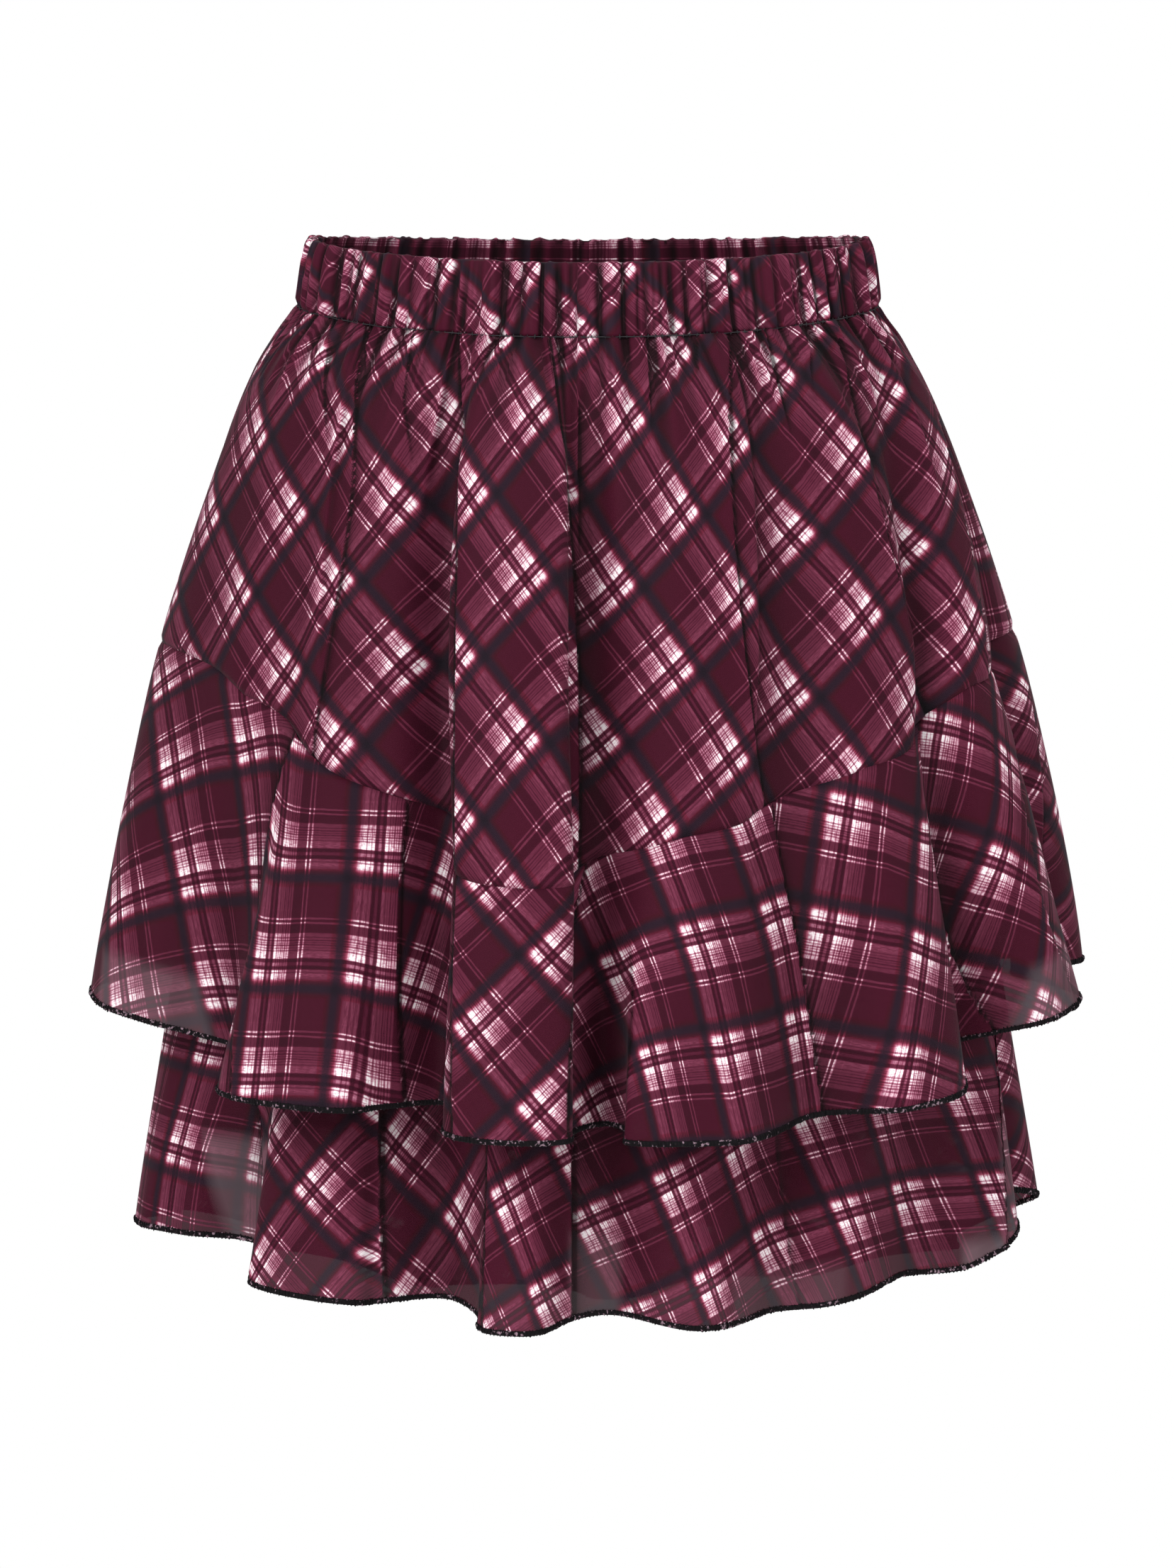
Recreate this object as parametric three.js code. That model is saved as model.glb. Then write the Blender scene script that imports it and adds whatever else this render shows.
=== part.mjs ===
// A short two-layer skirt with a gathered elastic waist, kept in the hollow shape it has when worn.
// Outer layer: bias-cut panels with an arched lower seam and a circular-cut flounce.
// Inner layer: a plain underskirt that carries a second, longer flounce.
// Millimetres, +Z up, the front faces -Y, and the origin is the centre of the waist opening.
import * as THREE from 'three';

// Driving sizes
const waistHalfWidth = 116;
const waistFrontDepth = 66;
const waistBackDepth = 69;
const bandThickness = 3;
const clothThickness = 1.2;
const liningThickness = 1;
const seamGap = 0.3;
const layerGap = 0.5;
const gatherCount = 66;
const bandGatherDepth = 1.3;
const panelGatherDepth = 1.3;
const panelGatherFade = 0.42;

const degree = Math.PI / 180;
const plumCloth = { color: 0x5a2440, roughness: 0.78, metalness: 0 };
const plumLining = { color: 0x3d1526, roughness: 0.6, metalness: 0 };

// The outer layer's mean ring by its drop below the waist: half width, front depth and back depth.
const outerRing = [
  { drop: 0, side: waistHalfWidth, front: waistFrontDepth, back: waistBackDepth },
  { drop: 28, side: waistHalfWidth + 5, front: waistFrontDepth + 7, back: waistBackDepth + 6 },
  { drop: 42, side: 130, front: 82, back: 84 },
  { drop: 56, side: 138, front: 90, back: 93 },
  { drop: 78, side: 147, front: 99, back: 103 },
  { drop: 107, side: 157, front: 108, back: 113 },
  { drop: 137, side: 167, front: 115, back: 121 },
  { drop: 168, side: 176, front: 121, back: 128 },
  { drop: 220, side: 184, front: 130, back: 138 },
  { drop: 270, side: 190, front: 137, back: 147 },
  { drop: 312, side: 194, front: 143, back: 153 },
  { drop: 360, side: 197, front: 148, back: 158 },
];

// The inner layer's mean ring.
const innerRing = [
  { drop: 28, side: waistHalfWidth + 3, front: waistFrontDepth + 5, back: waistBackDepth + 4 },
  { drop: 42, side: 123, front: 73.5, back: 76 },
  { drop: 78, side: 138, front: 80, back: 84 },
  { drop: 137, side: 152, front: 88, back: 94 },
  { drop: 210, side: 161, front: 96, back: 103 },
  { drop: 270, side: 167, front: 103, back: 111 },
  { drop: 340, side: 173, front: 111, back: 121 },
  { drop: 400, side: 178, front: 117, back: 129 },
  { drop: 440, side: 180, front: 120, back: 133 },
  { drop: 470, side: 181, front: 121, back: 134 },
];

// Lines round the skirt by azimuth, 0 at the front and 90 at the wearer's left: how far each hangs below the origin.
const lines = [
  { azimuth: -180, top: 8, bandSeam: 36, outerSeam: 236, outerHem: 345, innerSeam: 262, innerHem: 464 },
  { azimuth: -150, top: 6.5, bandSeam: 34.5, outerSeam: 215, outerHem: 337, innerSeam: 260, innerHem: 452 },
  { azimuth: -120, top: 3, bandSeam: 31, outerSeam: 182, outerHem: 320, innerSeam: 256, innerHem: 420 },
  { azimuth: -90, top: 0, bandSeam: 27.5, outerSeam: 167, outerHem: 309, innerSeam: 254, innerHem: 409 },
  { azimuth: -62, top: 0.8, bandSeam: 28.6, outerSeam: 171, outerHem: 324, innerSeam: 254, innerHem: 411 },
  { azimuth: -48, top: 1.6, bandSeam: 30, outerSeam: 186, outerHem: 335, innerSeam: 256, innerHem: 420 },
  { azimuth: -34, top: 2.4, bandSeam: 31, outerSeam: 209, outerHem: 345, innerSeam: 257, innerHem: 430 },
  { azimuth: -19, top: 3, bandSeam: 32, outerSeam: 226, outerHem: 346, innerSeam: 258, innerHem: 431 },
  { azimuth: -9, top: 3.2, bandSeam: 32.2, outerSeam: 250, outerHem: 354, innerSeam: 258, innerHem: 439 },
  { azimuth: 3, top: 3.2, bandSeam: 32.2, outerSeam: 241, outerHem: 353, innerSeam: 258, innerHem: 434 },
  { azimuth: 15, top: 3, bandSeam: 32, outerSeam: 229, outerHem: 356, innerSeam: 258, innerHem: 438 },
  { azimuth: 30, top: 2.6, bandSeam: 31.4, outerSeam: 215, outerHem: 350, innerSeam: 257, innerHem: 433 },
  { azimuth: 46, top: 1.8, bandSeam: 30, outerSeam: 198, outerHem: 343, innerSeam: 256, innerHem: 424 },
  { azimuth: 60, top: 0.9, bandSeam: 28.8, outerSeam: 178, outerHem: 326, innerSeam: 254, innerHem: 423 },
  { azimuth: 90, top: 0, bandSeam: 27.5, outerSeam: 163, outerHem: 306, innerSeam: 254, innerHem: 399 },
  { azimuth: 120, top: 3, bandSeam: 31, outerSeam: 182, outerHem: 312, innerSeam: 256, innerHem: 430 },
  { azimuth: 150, top: 6.5, bandSeam: 34.5, outerSeam: 215, outerHem: 332, innerSeam: 260, innerHem: 452 },
  { azimuth: 180, top: 8, bandSeam: 36, outerSeam: 236, outerHem: 345, innerSeam: 262, innerHem: 464 },
];

// Folds of the outer layer. A fold runs from the band seam over the panel's lower seam to the flounce's hem.
// topAt, seamAt and hemAt are its azimuths in degrees. seamSpan and hemSpan are half its width, seamRise and hemRise
// how far it stands out, and the four rolls how far its left and right flanks roll over, all in mm.
const outerFolds = [
  { topAt: -82, seamAt: -80, hemAt: -78, seamSpan: 28, hemSpan: 27, seamRise: 4, hemRise: 17, seamLeft: 0, seamRight: 0, hemLeft: 4, hemRight: 4 },
  { topAt: -60, seamAt: -52, hemAt: -56, seamSpan: 18, hemSpan: 20, seamRise: 3, hemRise: -19, seamLeft: 0, seamRight: 7, hemLeft: 0, hemRight: 0 },
  { topAt: -40, seamAt: -35, hemAt: -36, seamSpan: 17, hemSpan: 17, seamRise: 6, hemRise: 21, seamLeft: 0, seamRight: 0, hemLeft: 25, hemRight: 12 },
  { topAt: -24, seamAt: -19.5, hemAt: -20, seamSpan: 12, hemSpan: 14, seamRise: -14, hemRise: -24, seamLeft: 0, seamRight: 0, hemLeft: 0, hemRight: 0 },
  { topAt: -12.6, seamAt: -9, hemAt: -9.3, seamSpan: 12, hemSpan: 13, seamRise: 26, hemRise: 30, seamLeft: 15, seamRight: 15, hemLeft: 16, hemRight: 16 },
  { topAt: -1, seamAt: 2, hemAt: 2, seamSpan: 12, hemSpan: 13, seamRise: -13, hemRise: -21, seamLeft: 0, seamRight: 0, hemLeft: 0, hemRight: 0 },
  { topAt: 17, seamAt: 12, hemAt: 17, seamSpan: 19, hemSpan: 20, seamRise: 8, hemRise: 20, seamLeft: 0, seamRight: 10, hemLeft: 29, hemRight: 0 },
  { topAt: 31, seamAt: 27, hemAt: 30, seamSpan: 13, hemSpan: 15, seamRise: -5, hemRise: -9, seamLeft: 0, seamRight: 0, hemLeft: 0, hemRight: 0 },
  { topAt: 45, seamAt: 38, hemAt: 42, seamSpan: 18, hemSpan: 23, seamRise: 7, hemRise: 17, seamLeft: 0, seamRight: 9, hemLeft: 0, hemRight: 8 },
  { topAt: 60, seamAt: 50, hemAt: 57, seamSpan: 11, hemSpan: 17, seamRise: -5, hemRise: -20, seamLeft: 0, seamRight: 0, hemLeft: 0, hemRight: 0 },
  { topAt: 74, seamAt: 59, hemAt: 72, seamSpan: 15, hemSpan: 20, seamRise: 7, hemRise: 18, seamLeft: 0, seamRight: 9, hemLeft: 2, hemRight: 9 },
  { topAt: 88, seamAt: 76, hemAt: 88, seamSpan: 11, hemSpan: 16, seamRise: -7, hemRise: -18, seamLeft: 0, seamRight: 0, hemLeft: 0, hemRight: 0 },
  { topAt: 99, seamAt: 93, hemAt: 101, seamSpan: 20, hemSpan: 22, seamRise: 3, hemRise: 18, seamLeft: 0, seamRight: 0, hemLeft: 4, hemRight: 4 },
  { topAt: 120, seamAt: 118, hemAt: 119, seamSpan: 14, hemSpan: 17, seamRise: -6, hemRise: -20, seamLeft: 0, seamRight: 0, hemLeft: 0, hemRight: 0 },
  { topAt: 134, seamAt: 134, hemAt: 134, seamSpan: 22, hemSpan: 23, seamRise: 7, hemRise: 20, seamLeft: 3, seamRight: 3, hemLeft: 10, hemRight: 10 },
  { topAt: 149, seamAt: 149, hemAt: 149, seamSpan: 14, hemSpan: 16, seamRise: -7, hemRise: -21, seamLeft: 0, seamRight: 0, hemLeft: 0, hemRight: 0 },
  { topAt: 162, seamAt: 163, hemAt: 163, seamSpan: 20, hemSpan: 22, seamRise: 8, hemRise: 21, seamLeft: 4, seamRight: 4, hemLeft: 12, hemRight: 12 },
  { topAt: 177, seamAt: 177, hemAt: 177, seamSpan: 17, hemSpan: 18, seamRise: -9, hemRise: -21, seamLeft: 0, seamRight: 0, hemLeft: 0, hemRight: 0 },
  { topAt: -168, seamAt: -168, hemAt: -168, seamSpan: 20, hemSpan: 22, seamRise: 8, hemRise: 22, seamLeft: 4, seamRight: 4, hemLeft: 12, hemRight: 12 },
  { topAt: -153, seamAt: -153, hemAt: -152, seamSpan: 15, hemSpan: 18, seamRise: -8, hemRise: -22, seamLeft: 0, seamRight: 0, hemLeft: 0, hemRight: 0 },
  { topAt: -138, seamAt: -138, hemAt: -137, seamSpan: 22, hemSpan: 23, seamRise: 7, hemRise: 20, seamLeft: 3, seamRight: 3, hemLeft: 10, hemRight: 10 },
  { topAt: -121, seamAt: -121, hemAt: -121, seamSpan: 15, hemSpan: 17, seamRise: -6, hemRise: -20, seamLeft: 0, seamRight: 0, hemLeft: 0, hemRight: 0 },
  { topAt: -106, seamAt: -106, hemAt: -105, seamSpan: 20, hemSpan: 21, seamRise: 4, hemRise: 16, seamLeft: 0, seamRight: 0, hemLeft: 6, hemRight: 6 },
  { topAt: -92, seamAt: -92, hemAt: -92, seamSpan: 11, hemSpan: 13, seamRise: -2, hemRise: -10, seamLeft: 0, seamRight: 0, hemLeft: 0, hemRight: 0 },
];

// Folds of the inner layer, from the underskirt's hem to the lower flounce's hem. The underskirt itself hangs smooth.
const innerFolds = [
  { topAt: -80, seamAt: -80, hemAt: -76, seamSpan: 24, hemSpan: 26, seamRise: 2, hemRise: 16, seamLeft: 0, seamRight: 0, hemLeft: 3, hemRight: 3 },
  { topAt: -57, seamAt: -57, hemAt: -57, seamSpan: 15, hemSpan: 17, seamRise: -2, hemRise: -16, seamLeft: 0, seamRight: 0, hemLeft: 0, hemRight: 0 },
  { topAt: -38.5, seamAt: -38.5, hemAt: -39, seamSpan: 17, hemSpan: 15, seamRise: 2, hemRise: 20, seamLeft: 0, seamRight: 0, hemLeft: 16, hemRight: 14 },
  { topAt: -22, seamAt: -22, hemAt: -22, seamSpan: 14, hemSpan: 16, seamRise: -2, hemRise: -21, seamLeft: 0, seamRight: 0, hemLeft: 0, hemRight: 0 },
  { topAt: -8.5, seamAt: -8.5, hemAt: -8.5, seamSpan: 13, hemSpan: 11, seamRise: 2, hemRise: 19, seamLeft: 0, seamRight: 0, hemLeft: 11, hemRight: 4 },
  { topAt: 2, seamAt: 2, hemAt: 2, seamSpan: 12, hemSpan: 14, seamRise: -1, hemRise: -10, seamLeft: 0, seamRight: 0, hemLeft: 0, hemRight: 0 },
  { topAt: 13, seamAt: 13, hemAt: 13, seamSpan: 20, hemSpan: 22, seamRise: 2, hemRise: 14, seamLeft: 0, seamRight: 0, hemLeft: 0, hemRight: 3 },
  { topAt: 26, seamAt: 26, hemAt: 26, seamSpan: 14, hemSpan: 15, seamRise: -1, hemRise: -8, seamLeft: 0, seamRight: 0, hemLeft: 0, hemRight: 0 },
  { topAt: 37, seamAt: 37, hemAt: 37, seamSpan: 16, hemSpan: 18, seamRise: 1, hemRise: 9, seamLeft: 0, seamRight: 0, hemLeft: 0, hemRight: 0 },
  { topAt: 52, seamAt: 52, hemAt: 52, seamSpan: 15, hemSpan: 17, seamRise: -1, hemRise: -6, seamLeft: 0, seamRight: 0, hemLeft: 0, hemRight: 0 },
  { topAt: 69, seamAt: 69, hemAt: 69, seamSpan: 20, hemSpan: 21, seamRise: 2, hemRise: 10, seamLeft: 0, seamRight: 0, hemLeft: 0, hemRight: 6 },
  { topAt: 86, seamAt: 86, hemAt: 86, seamSpan: 11, hemSpan: 13, seamRise: -2, hemRise: -15, seamLeft: 0, seamRight: 0, hemLeft: 0, hemRight: 0 },
  { topAt: 101, seamAt: 101, hemAt: 100, seamSpan: 18, hemSpan: 20, seamRise: 2, hemRise: 14, seamLeft: 0, seamRight: 0, hemLeft: 6, hemRight: 4 },
  { topAt: 117, seamAt: 117, hemAt: 117, seamSpan: 13, hemSpan: 16, seamRise: -2, hemRise: -15, seamLeft: 0, seamRight: 0, hemLeft: 0, hemRight: 0 },
  { topAt: 131, seamAt: 131, hemAt: 131, seamSpan: 20, hemSpan: 22, seamRise: 2, hemRise: 16, seamLeft: 0, seamRight: 0, hemLeft: 8, hemRight: 8 },
  { topAt: 146, seamAt: 146, hemAt: 146, seamSpan: 14, hemSpan: 17, seamRise: -2, hemRise: -16, seamLeft: 0, seamRight: 0, hemLeft: 0, hemRight: 0 },
  { topAt: 160, seamAt: 160, hemAt: 160, seamSpan: 19, hemSpan: 21, seamRise: 2, hemRise: 18, seamLeft: 0, seamRight: 0, hemLeft: 10, hemRight: 10 },
  { topAt: 175, seamAt: 175, hemAt: 175, seamSpan: 14, hemSpan: 17, seamRise: -2, hemRise: -17, seamLeft: 0, seamRight: 0, hemLeft: 0, hemRight: 0 },
  { topAt: -170, seamAt: -170, hemAt: -170, seamSpan: 19, hemSpan: 21, seamRise: 2, hemRise: 17, seamLeft: 0, seamRight: 0, hemLeft: 9, hemRight: 9 },
  { topAt: -155, seamAt: -155, hemAt: -155, seamSpan: 14, hemSpan: 17, seamRise: -2, hemRise: -16, seamLeft: 0, seamRight: 0, hemLeft: 0, hemRight: 0 },
  { topAt: -140, seamAt: -140, hemAt: -140, seamSpan: 20, hemSpan: 22, seamRise: 2, hemRise: 17, seamLeft: 0, seamRight: 0, hemLeft: 9, hemRight: 9 },
  { topAt: -124, seamAt: -124, hemAt: -124, seamSpan: 14, hemSpan: 17, seamRise: -2, hemRise: -15, seamLeft: 0, seamRight: 0, hemLeft: 0, hemRight: 0 },
  { topAt: -108, seamAt: -108, hemAt: -108, seamSpan: 19, hemSpan: 20, seamRise: 2, hemRise: 13, seamLeft: 0, seamRight: 0, hemLeft: 6, hemRight: 6 },
  { topAt: -93, seamAt: -93, hemAt: -93, seamSpan: 11, hemSpan: 12, seamRise: -1, hemRise: -8, seamLeft: 0, seamRight: 0, hemLeft: 0, hemRight: 0 },
];

const mix = (a, b, share) => a + (b - a) * share;
const clamp01 = (x) => Math.min(1, Math.max(0, x));

// A smooth curve through a table's rows, read at x along the key column.
function readTable(rows, key, column, x) {
  const last = rows.length - 1;
  if (x <= rows[0][key]) return rows[0][column];
  if (x >= rows[last][key]) return rows[last][column];
  let i = 0;
  while (rows[i + 1][key] < x) i++;
  const slope = (k) => {
    const before = rows[Math.max(k - 1, 0)];
    const after = rows[Math.min(k + 1, last)];
    return (after[column] - before[column]) / (after[key] - before[key]);
  };
  const width = rows[i + 1][key] - rows[i][key];
  const t = (x - rows[i][key]) / width;
  const start = rows[i][column];
  const end = rows[i + 1][column];
  const bow = 2 * t ** 3 - 3 * t ** 2;
  return start * (bow + 1) - end * bow
    + width * (slope(i) * (t ** 3 - 2 * t ** 2 + t) + slope(i + 1) * (t ** 3 - t ** 2));
}

const wrapAzimuth = (azimuth) => azimuth - 360 * Math.round(azimuth / 360);
const lineDrop = (line, azimuth) => readTable(lines, 'azimuth', line, wrapAzimuth(azimuth));

// The mean ring at an azimuth and drop: its point, its outward and sideways directions, and mm run for each degree.
function ringPoint(ring, azimuth, drop) {
  const turn = azimuth * degree;
  const side = readTable(ring, 'drop', 'side', drop);
  const depth = readTable(ring, 'drop', Math.cos(turn) > 0 ? 'front' : 'back', drop);
  const along = new THREE.Vector2(side * Math.cos(turn), depth * Math.sin(turn));
  const pace = along.length() * degree;
  along.normalize();
  return {
    x: side * Math.sin(turn),
    y: -depth * Math.cos(turn),
    pace,
    along,
    outward: new THREE.Vector2(along.y, -along.x),
  };
}

// How far the folds move the cloth outwards and sideways. level is 0 at the top, 1 at the seam and 2 at the hem.
function foldShift(folds, azimuth, level, pace) {
  const down = clamp01(level);
  const flare = clamp01(level - 1);
  const grown = 1 - (1 - down) ** 3;
  const rolled = 1 - (1 - down) ** 6;
  let outwards = 0;
  let sideways = 0;
  for (const fold of folds) {
    const seamAt = mix(fold.topAt, fold.seamAt, down);
    const span = mix(fold.seamSpan, fold.hemSpan, flare);
    const q = (wrapAzimuth(azimuth - mix(seamAt, fold.hemAt, flare)) * pace) / span;
    const rise = mix(fold.seamRise * grown, fold.hemRise, flare);
    const roll = q < 0
      ? mix(fold.seamLeft * rolled, fold.hemLeft, flare)
      : mix(fold.seamRight * rolled, fold.hemRight, flare);
    outwards += rise * Math.exp(-q * q);
    sideways += roll * Math.SQRT2 * q * Math.exp(0.5 - q * q);
  }
  return { outwards, sideways };
}

// The uneven wave of the gathers round the elastic, from -1 to 1. The oval waist stretches the turn at front and back.
function gatherWave(azimuth) {
  const turn = azimuth * degree;
  const alongWaist = turn + 0.13 * Math.sin(2 * turn);
  return Math.sin(gatherCount * alongWaist + 1.4 * Math.sin(5 * turn + 0.6) + 0.9 * Math.sin(11 * turn + 2.1));
}

const gatherFade = (level) => clamp01(1 - level / panelGatherFade) ** 2;

function layerPoint(ring, folds, azimuth, level, drop, gatherDepth) {
  const base = ringPoint(ring, azimuth, drop);
  const { outwards, sideways } = foldShift(folds, azimuth, level, base.pace);
  const out = outwards + gatherDepth * gatherWave(azimuth);
  return new THREE.Vector3(
    base.x + base.outward.x * out + base.along.x * sideways,
    base.y + base.outward.y * out + base.along.y * sideways,
    -drop,
  );
}

// Waistband, from level 0 at its top edge to level 1 at the seam below it.
function bandPoint(azimuth, level, gatherDepth = bandGatherDepth) {
  const drop = mix(lineDrop('top', azimuth), lineDrop('bandSeam', azimuth), level);
  const bulge = 1 - (2 * level - 1) ** 2;
  const base = ringPoint(outerRing, azimuth, drop - lineDrop('top', azimuth) * (1 - level));
  const out = bulge + gatherDepth * gatherWave(azimuth);
  return new THREE.Vector3(base.x + base.outward.x * out, base.y + base.outward.y * out, -drop);
}

// The waistband's inside is smooth, because the elastic lies behind the gathers.
const bandInsidePoint = (azimuth, level) => bandPoint(azimuth, level, 0);

// A layer's upper piece, from level 0 at the band seam to 1 at the seam above its flounce.
function upperPoint(ring, folds, seamLine, gatherDepth, azimuth, level) {
  const drop = mix(lineDrop('bandSeam', azimuth) + seamGap, lineDrop(seamLine, azimuth), level);
  return layerPoint(ring, folds, azimuth, level, drop, gatherDepth * gatherFade(level));
}

// A layer's flounce, from level 1 at its top seam to 2 at its hem.
function flouncePoint(ring, folds, seamLine, hemLine, azimuth, level) {
  const drop = mix(lineDrop(seamLine, azimuth) + seamGap, lineDrop(hemLine, azimuth), level - 1);
  return layerPoint(ring, folds, azimuth, level, drop, 0);
}

const panelPoint = (azimuth, level) =>
  upperPoint(outerRing, outerFolds, 'outerSeam', panelGatherDepth, azimuth, level);
const underskirtPoint = (azimuth, level) => upperPoint(innerRing, innerFolds, 'innerSeam', 0, azimuth, level);
const upperFlouncePoint = (azimuth, level) =>
  flouncePoint(outerRing, outerFolds, 'outerSeam', 'outerHem', azimuth, level);
const lowerFlouncePoint = (azimuth, level) =>
  flouncePoint(innerRing, innerFolds, 'innerSeam', 'innerHem', azimuth, level);

// The surface's level outward direction from its two slopes, measured with small steps.
function surfaceNormal(point, azimuth, level, levels) {
  const step = 0.02;
  const up = Math.max(levels[0], level - step);
  const down = Math.min(levels[levels.length - 1], level + step);
  const across = point(azimuth + step * 10, level).sub(point(azimuth - step * 10, level));
  const along = point(azimuth, up).sub(point(azimuth, down));
  const normal = across.cross(along);
  normal.z = 0;
  return normal.normalize();
}

// Azimuths from one side seam to the other, spaced evenly along the cloth at the given level.
function evenAzimuths(point, level, from, to, columns) {
  const fine = columns * 12;
  const azimuths = [];
  const lengths = [0];
  for (let i = 0; i <= fine; i++) {
    azimuths.push(mix(from, to, i / fine));
    if (i > 0) {
      const length = point(azimuths[i], level).distanceTo(point(azimuths[i - 1], level));
      lengths.push(lengths[i - 1] + length);
    }
  }
  const chosen = [];
  let i = 0;
  for (let column = 0; column <= columns; column++) {
    const target = (lengths[fine] * column) / columns;
    while (i < fine - 1 && lengths[i + 1] < target) i++;
    const share = clamp01((target - lengths[i]) / (lengths[i + 1] - lengths[i]));
    chosen.push(mix(azimuths[i], azimuths[i + 1], share));
  }
  return chosen;
}

// A closed wall of cloth: its outer face is the surface moved in by inset, its inner face lies a thickness further in.
function clothWall(point, azimuths, levels, inset, thickness, insidePoint = point) {
  const columns = azimuths.length;
  const rows = levels.length;
  const positions = [];
  for (const [face, depth] of [[point, inset], [insidePoint, inset + thickness]]) {
    for (const level of levels) {
      for (const azimuth of azimuths) {
        const normal = surfaceNormal(face, azimuth, level, levels);
        positions.push(...face(azimuth, level).addScaledVector(normal, -depth).toArray());
      }
    }
  }
  const at = (face, row, column) => (face * rows + row) * columns + column;
  const triangles = [];
  const quad = (a, b, c, d) => triangles.push(a, b, c, a, c, d);
  for (let row = 0; row < rows - 1; row++) {
    for (let column = 0; column < columns - 1; column++) {
      quad(at(0, row, column), at(0, row + 1, column), at(0, row + 1, column + 1), at(0, row, column + 1));
      quad(at(1, row, column), at(1, row, column + 1), at(1, row + 1, column + 1), at(1, row + 1, column));
    }
    const end = columns - 1;
    quad(at(0, row, 0), at(1, row, 0), at(1, row + 1, 0), at(0, row + 1, 0));
    quad(at(0, row, end), at(0, row + 1, end), at(1, row + 1, end), at(1, row, end));
  }
  for (let column = 0; column < columns - 1; column++) {
    const bottom = rows - 1;
    quad(at(0, 0, column), at(0, 0, column + 1), at(1, 0, column + 1), at(1, 0, column));
    quad(at(0, bottom, column), at(1, bottom, column), at(1, bottom, column + 1), at(0, bottom, column + 1));
  }
  const geometry = new THREE.BufferGeometry();
  geometry.setAttribute('position', new THREE.Float32BufferAttribute(positions, 3));
  geometry.setIndex(triangles);
  geometry.computeVertexNormals();
  return geometry;
}

function addPiece(group, name, geometry, finish) {
  const piece = new THREE.Mesh(geometry, new THREE.MeshStandardMaterial(finish));
  piece.name = name;
  group.add(piece);
}

// Pieces of each half. The front runs between the side seams, and the back runs on round behind.
const sideSeamGap = 0.1;
const halves = [
  { name: 'front', from: -90 + sideSeamGap, to: 90 - sideSeamGap },
  { name: 'back', from: 90 + sideSeamGap, to: 270 - sideSeamGap },
];
const bandLevels = [0, 0.5, 1];
const panelLevels = [0, 0.08, 0.2, 0.36, 0.56, 0.78, 1];
const flounceLevels = [1, 1.25, 1.5, 1.75, 2];
const underskirtLevels = [0, 0.2, 0.55, 1];
const bandColumns = 120;
const outerColumns = 96;
const lowerFlounceColumns = 84;
const underskirtColumns = 40;

const skirt = new THREE.Group();
skirt.name = 'tiered_ruffle_skirt';
for (const { name, from, to } of halves) {
  const bandAzimuths = evenAzimuths(bandPoint, 0.5, from, to, bandColumns);
  const outerAzimuths = evenAzimuths(upperFlouncePoint, 1.4, from, to, outerColumns);
  const lowerAzimuths = evenAzimuths(lowerFlouncePoint, 1.8, from, to, lowerFlounceColumns);
  const underskirtAzimuths = evenAzimuths(underskirtPoint, 0.5, from, to, underskirtColumns);
  const liningInset = clothThickness + layerGap;
  addPiece(skirt, name + '_waistband',
    clothWall(bandPoint, bandAzimuths, bandLevels, 0, bandThickness, bandInsidePoint), plumCloth);
  addPiece(skirt, name + '_panel', clothWall(panelPoint, outerAzimuths, panelLevels, 0, clothThickness), plumCloth);
  addPiece(skirt, name + '_upper_flounce',
    clothWall(upperFlouncePoint, outerAzimuths, flounceLevels, 0, clothThickness), plumCloth);
  addPiece(skirt, name + '_underskirt',
    clothWall(underskirtPoint, underskirtAzimuths, underskirtLevels, liningInset, liningThickness), plumLining);
  addPiece(skirt, name + '_lower_flounce',
    clothWall(lowerFlouncePoint, lowerAzimuths, flounceLevels, liningInset, clothThickness), plumCloth);
}

export default skirt;
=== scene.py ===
"""Tiered ruffle skirt: plaid chiffon over the skirt's solids, in metres, +Z up, front towards -Y."""
import math

import bmesh
import bpy
import numpy as np
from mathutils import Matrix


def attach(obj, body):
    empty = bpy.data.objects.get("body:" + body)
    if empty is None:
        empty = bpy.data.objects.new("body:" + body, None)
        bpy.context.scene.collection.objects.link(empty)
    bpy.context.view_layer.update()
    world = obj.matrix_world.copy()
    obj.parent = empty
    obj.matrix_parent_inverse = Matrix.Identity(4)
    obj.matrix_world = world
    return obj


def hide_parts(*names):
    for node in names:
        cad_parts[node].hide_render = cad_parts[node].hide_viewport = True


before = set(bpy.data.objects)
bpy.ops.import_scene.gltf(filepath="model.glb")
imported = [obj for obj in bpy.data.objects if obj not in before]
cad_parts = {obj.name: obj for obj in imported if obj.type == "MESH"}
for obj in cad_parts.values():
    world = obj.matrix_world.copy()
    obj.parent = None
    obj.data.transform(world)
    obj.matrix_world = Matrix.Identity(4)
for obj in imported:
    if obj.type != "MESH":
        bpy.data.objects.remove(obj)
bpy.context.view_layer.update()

MM = 0.001
DEGREE = math.pi / 180

# Mean rings of the two layers: drop below the waist, half width, front depth, back depth, in mm.
OUTER_RING = [
    (0, 116, 66, 69),
    (28, 121, 73, 75),
    (42, 130, 82, 84),
    (56, 138, 90, 93),
    (78, 147, 99, 103),
    (107, 157, 108, 113),
    (137, 167, 115, 121),
    (168, 176, 121, 128),
    (220, 184, 130, 138),
    (270, 190, 137, 147),
    (312, 194, 143, 153),
    (360, 197, 148, 158),
]
INNER_RING = [
    (28, 119, 71, 73),
    (42, 123, 73.5, 76),
    (78, 138, 80, 84),
    (137, 152, 88, 94),
    (210, 161, 96, 103),
    (270, 167, 103, 111),
    (340, 173, 111, 121),
    (400, 178, 117, 129),
    (440, 180, 120, 133),
    (470, 181, 121, 134),
]
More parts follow.
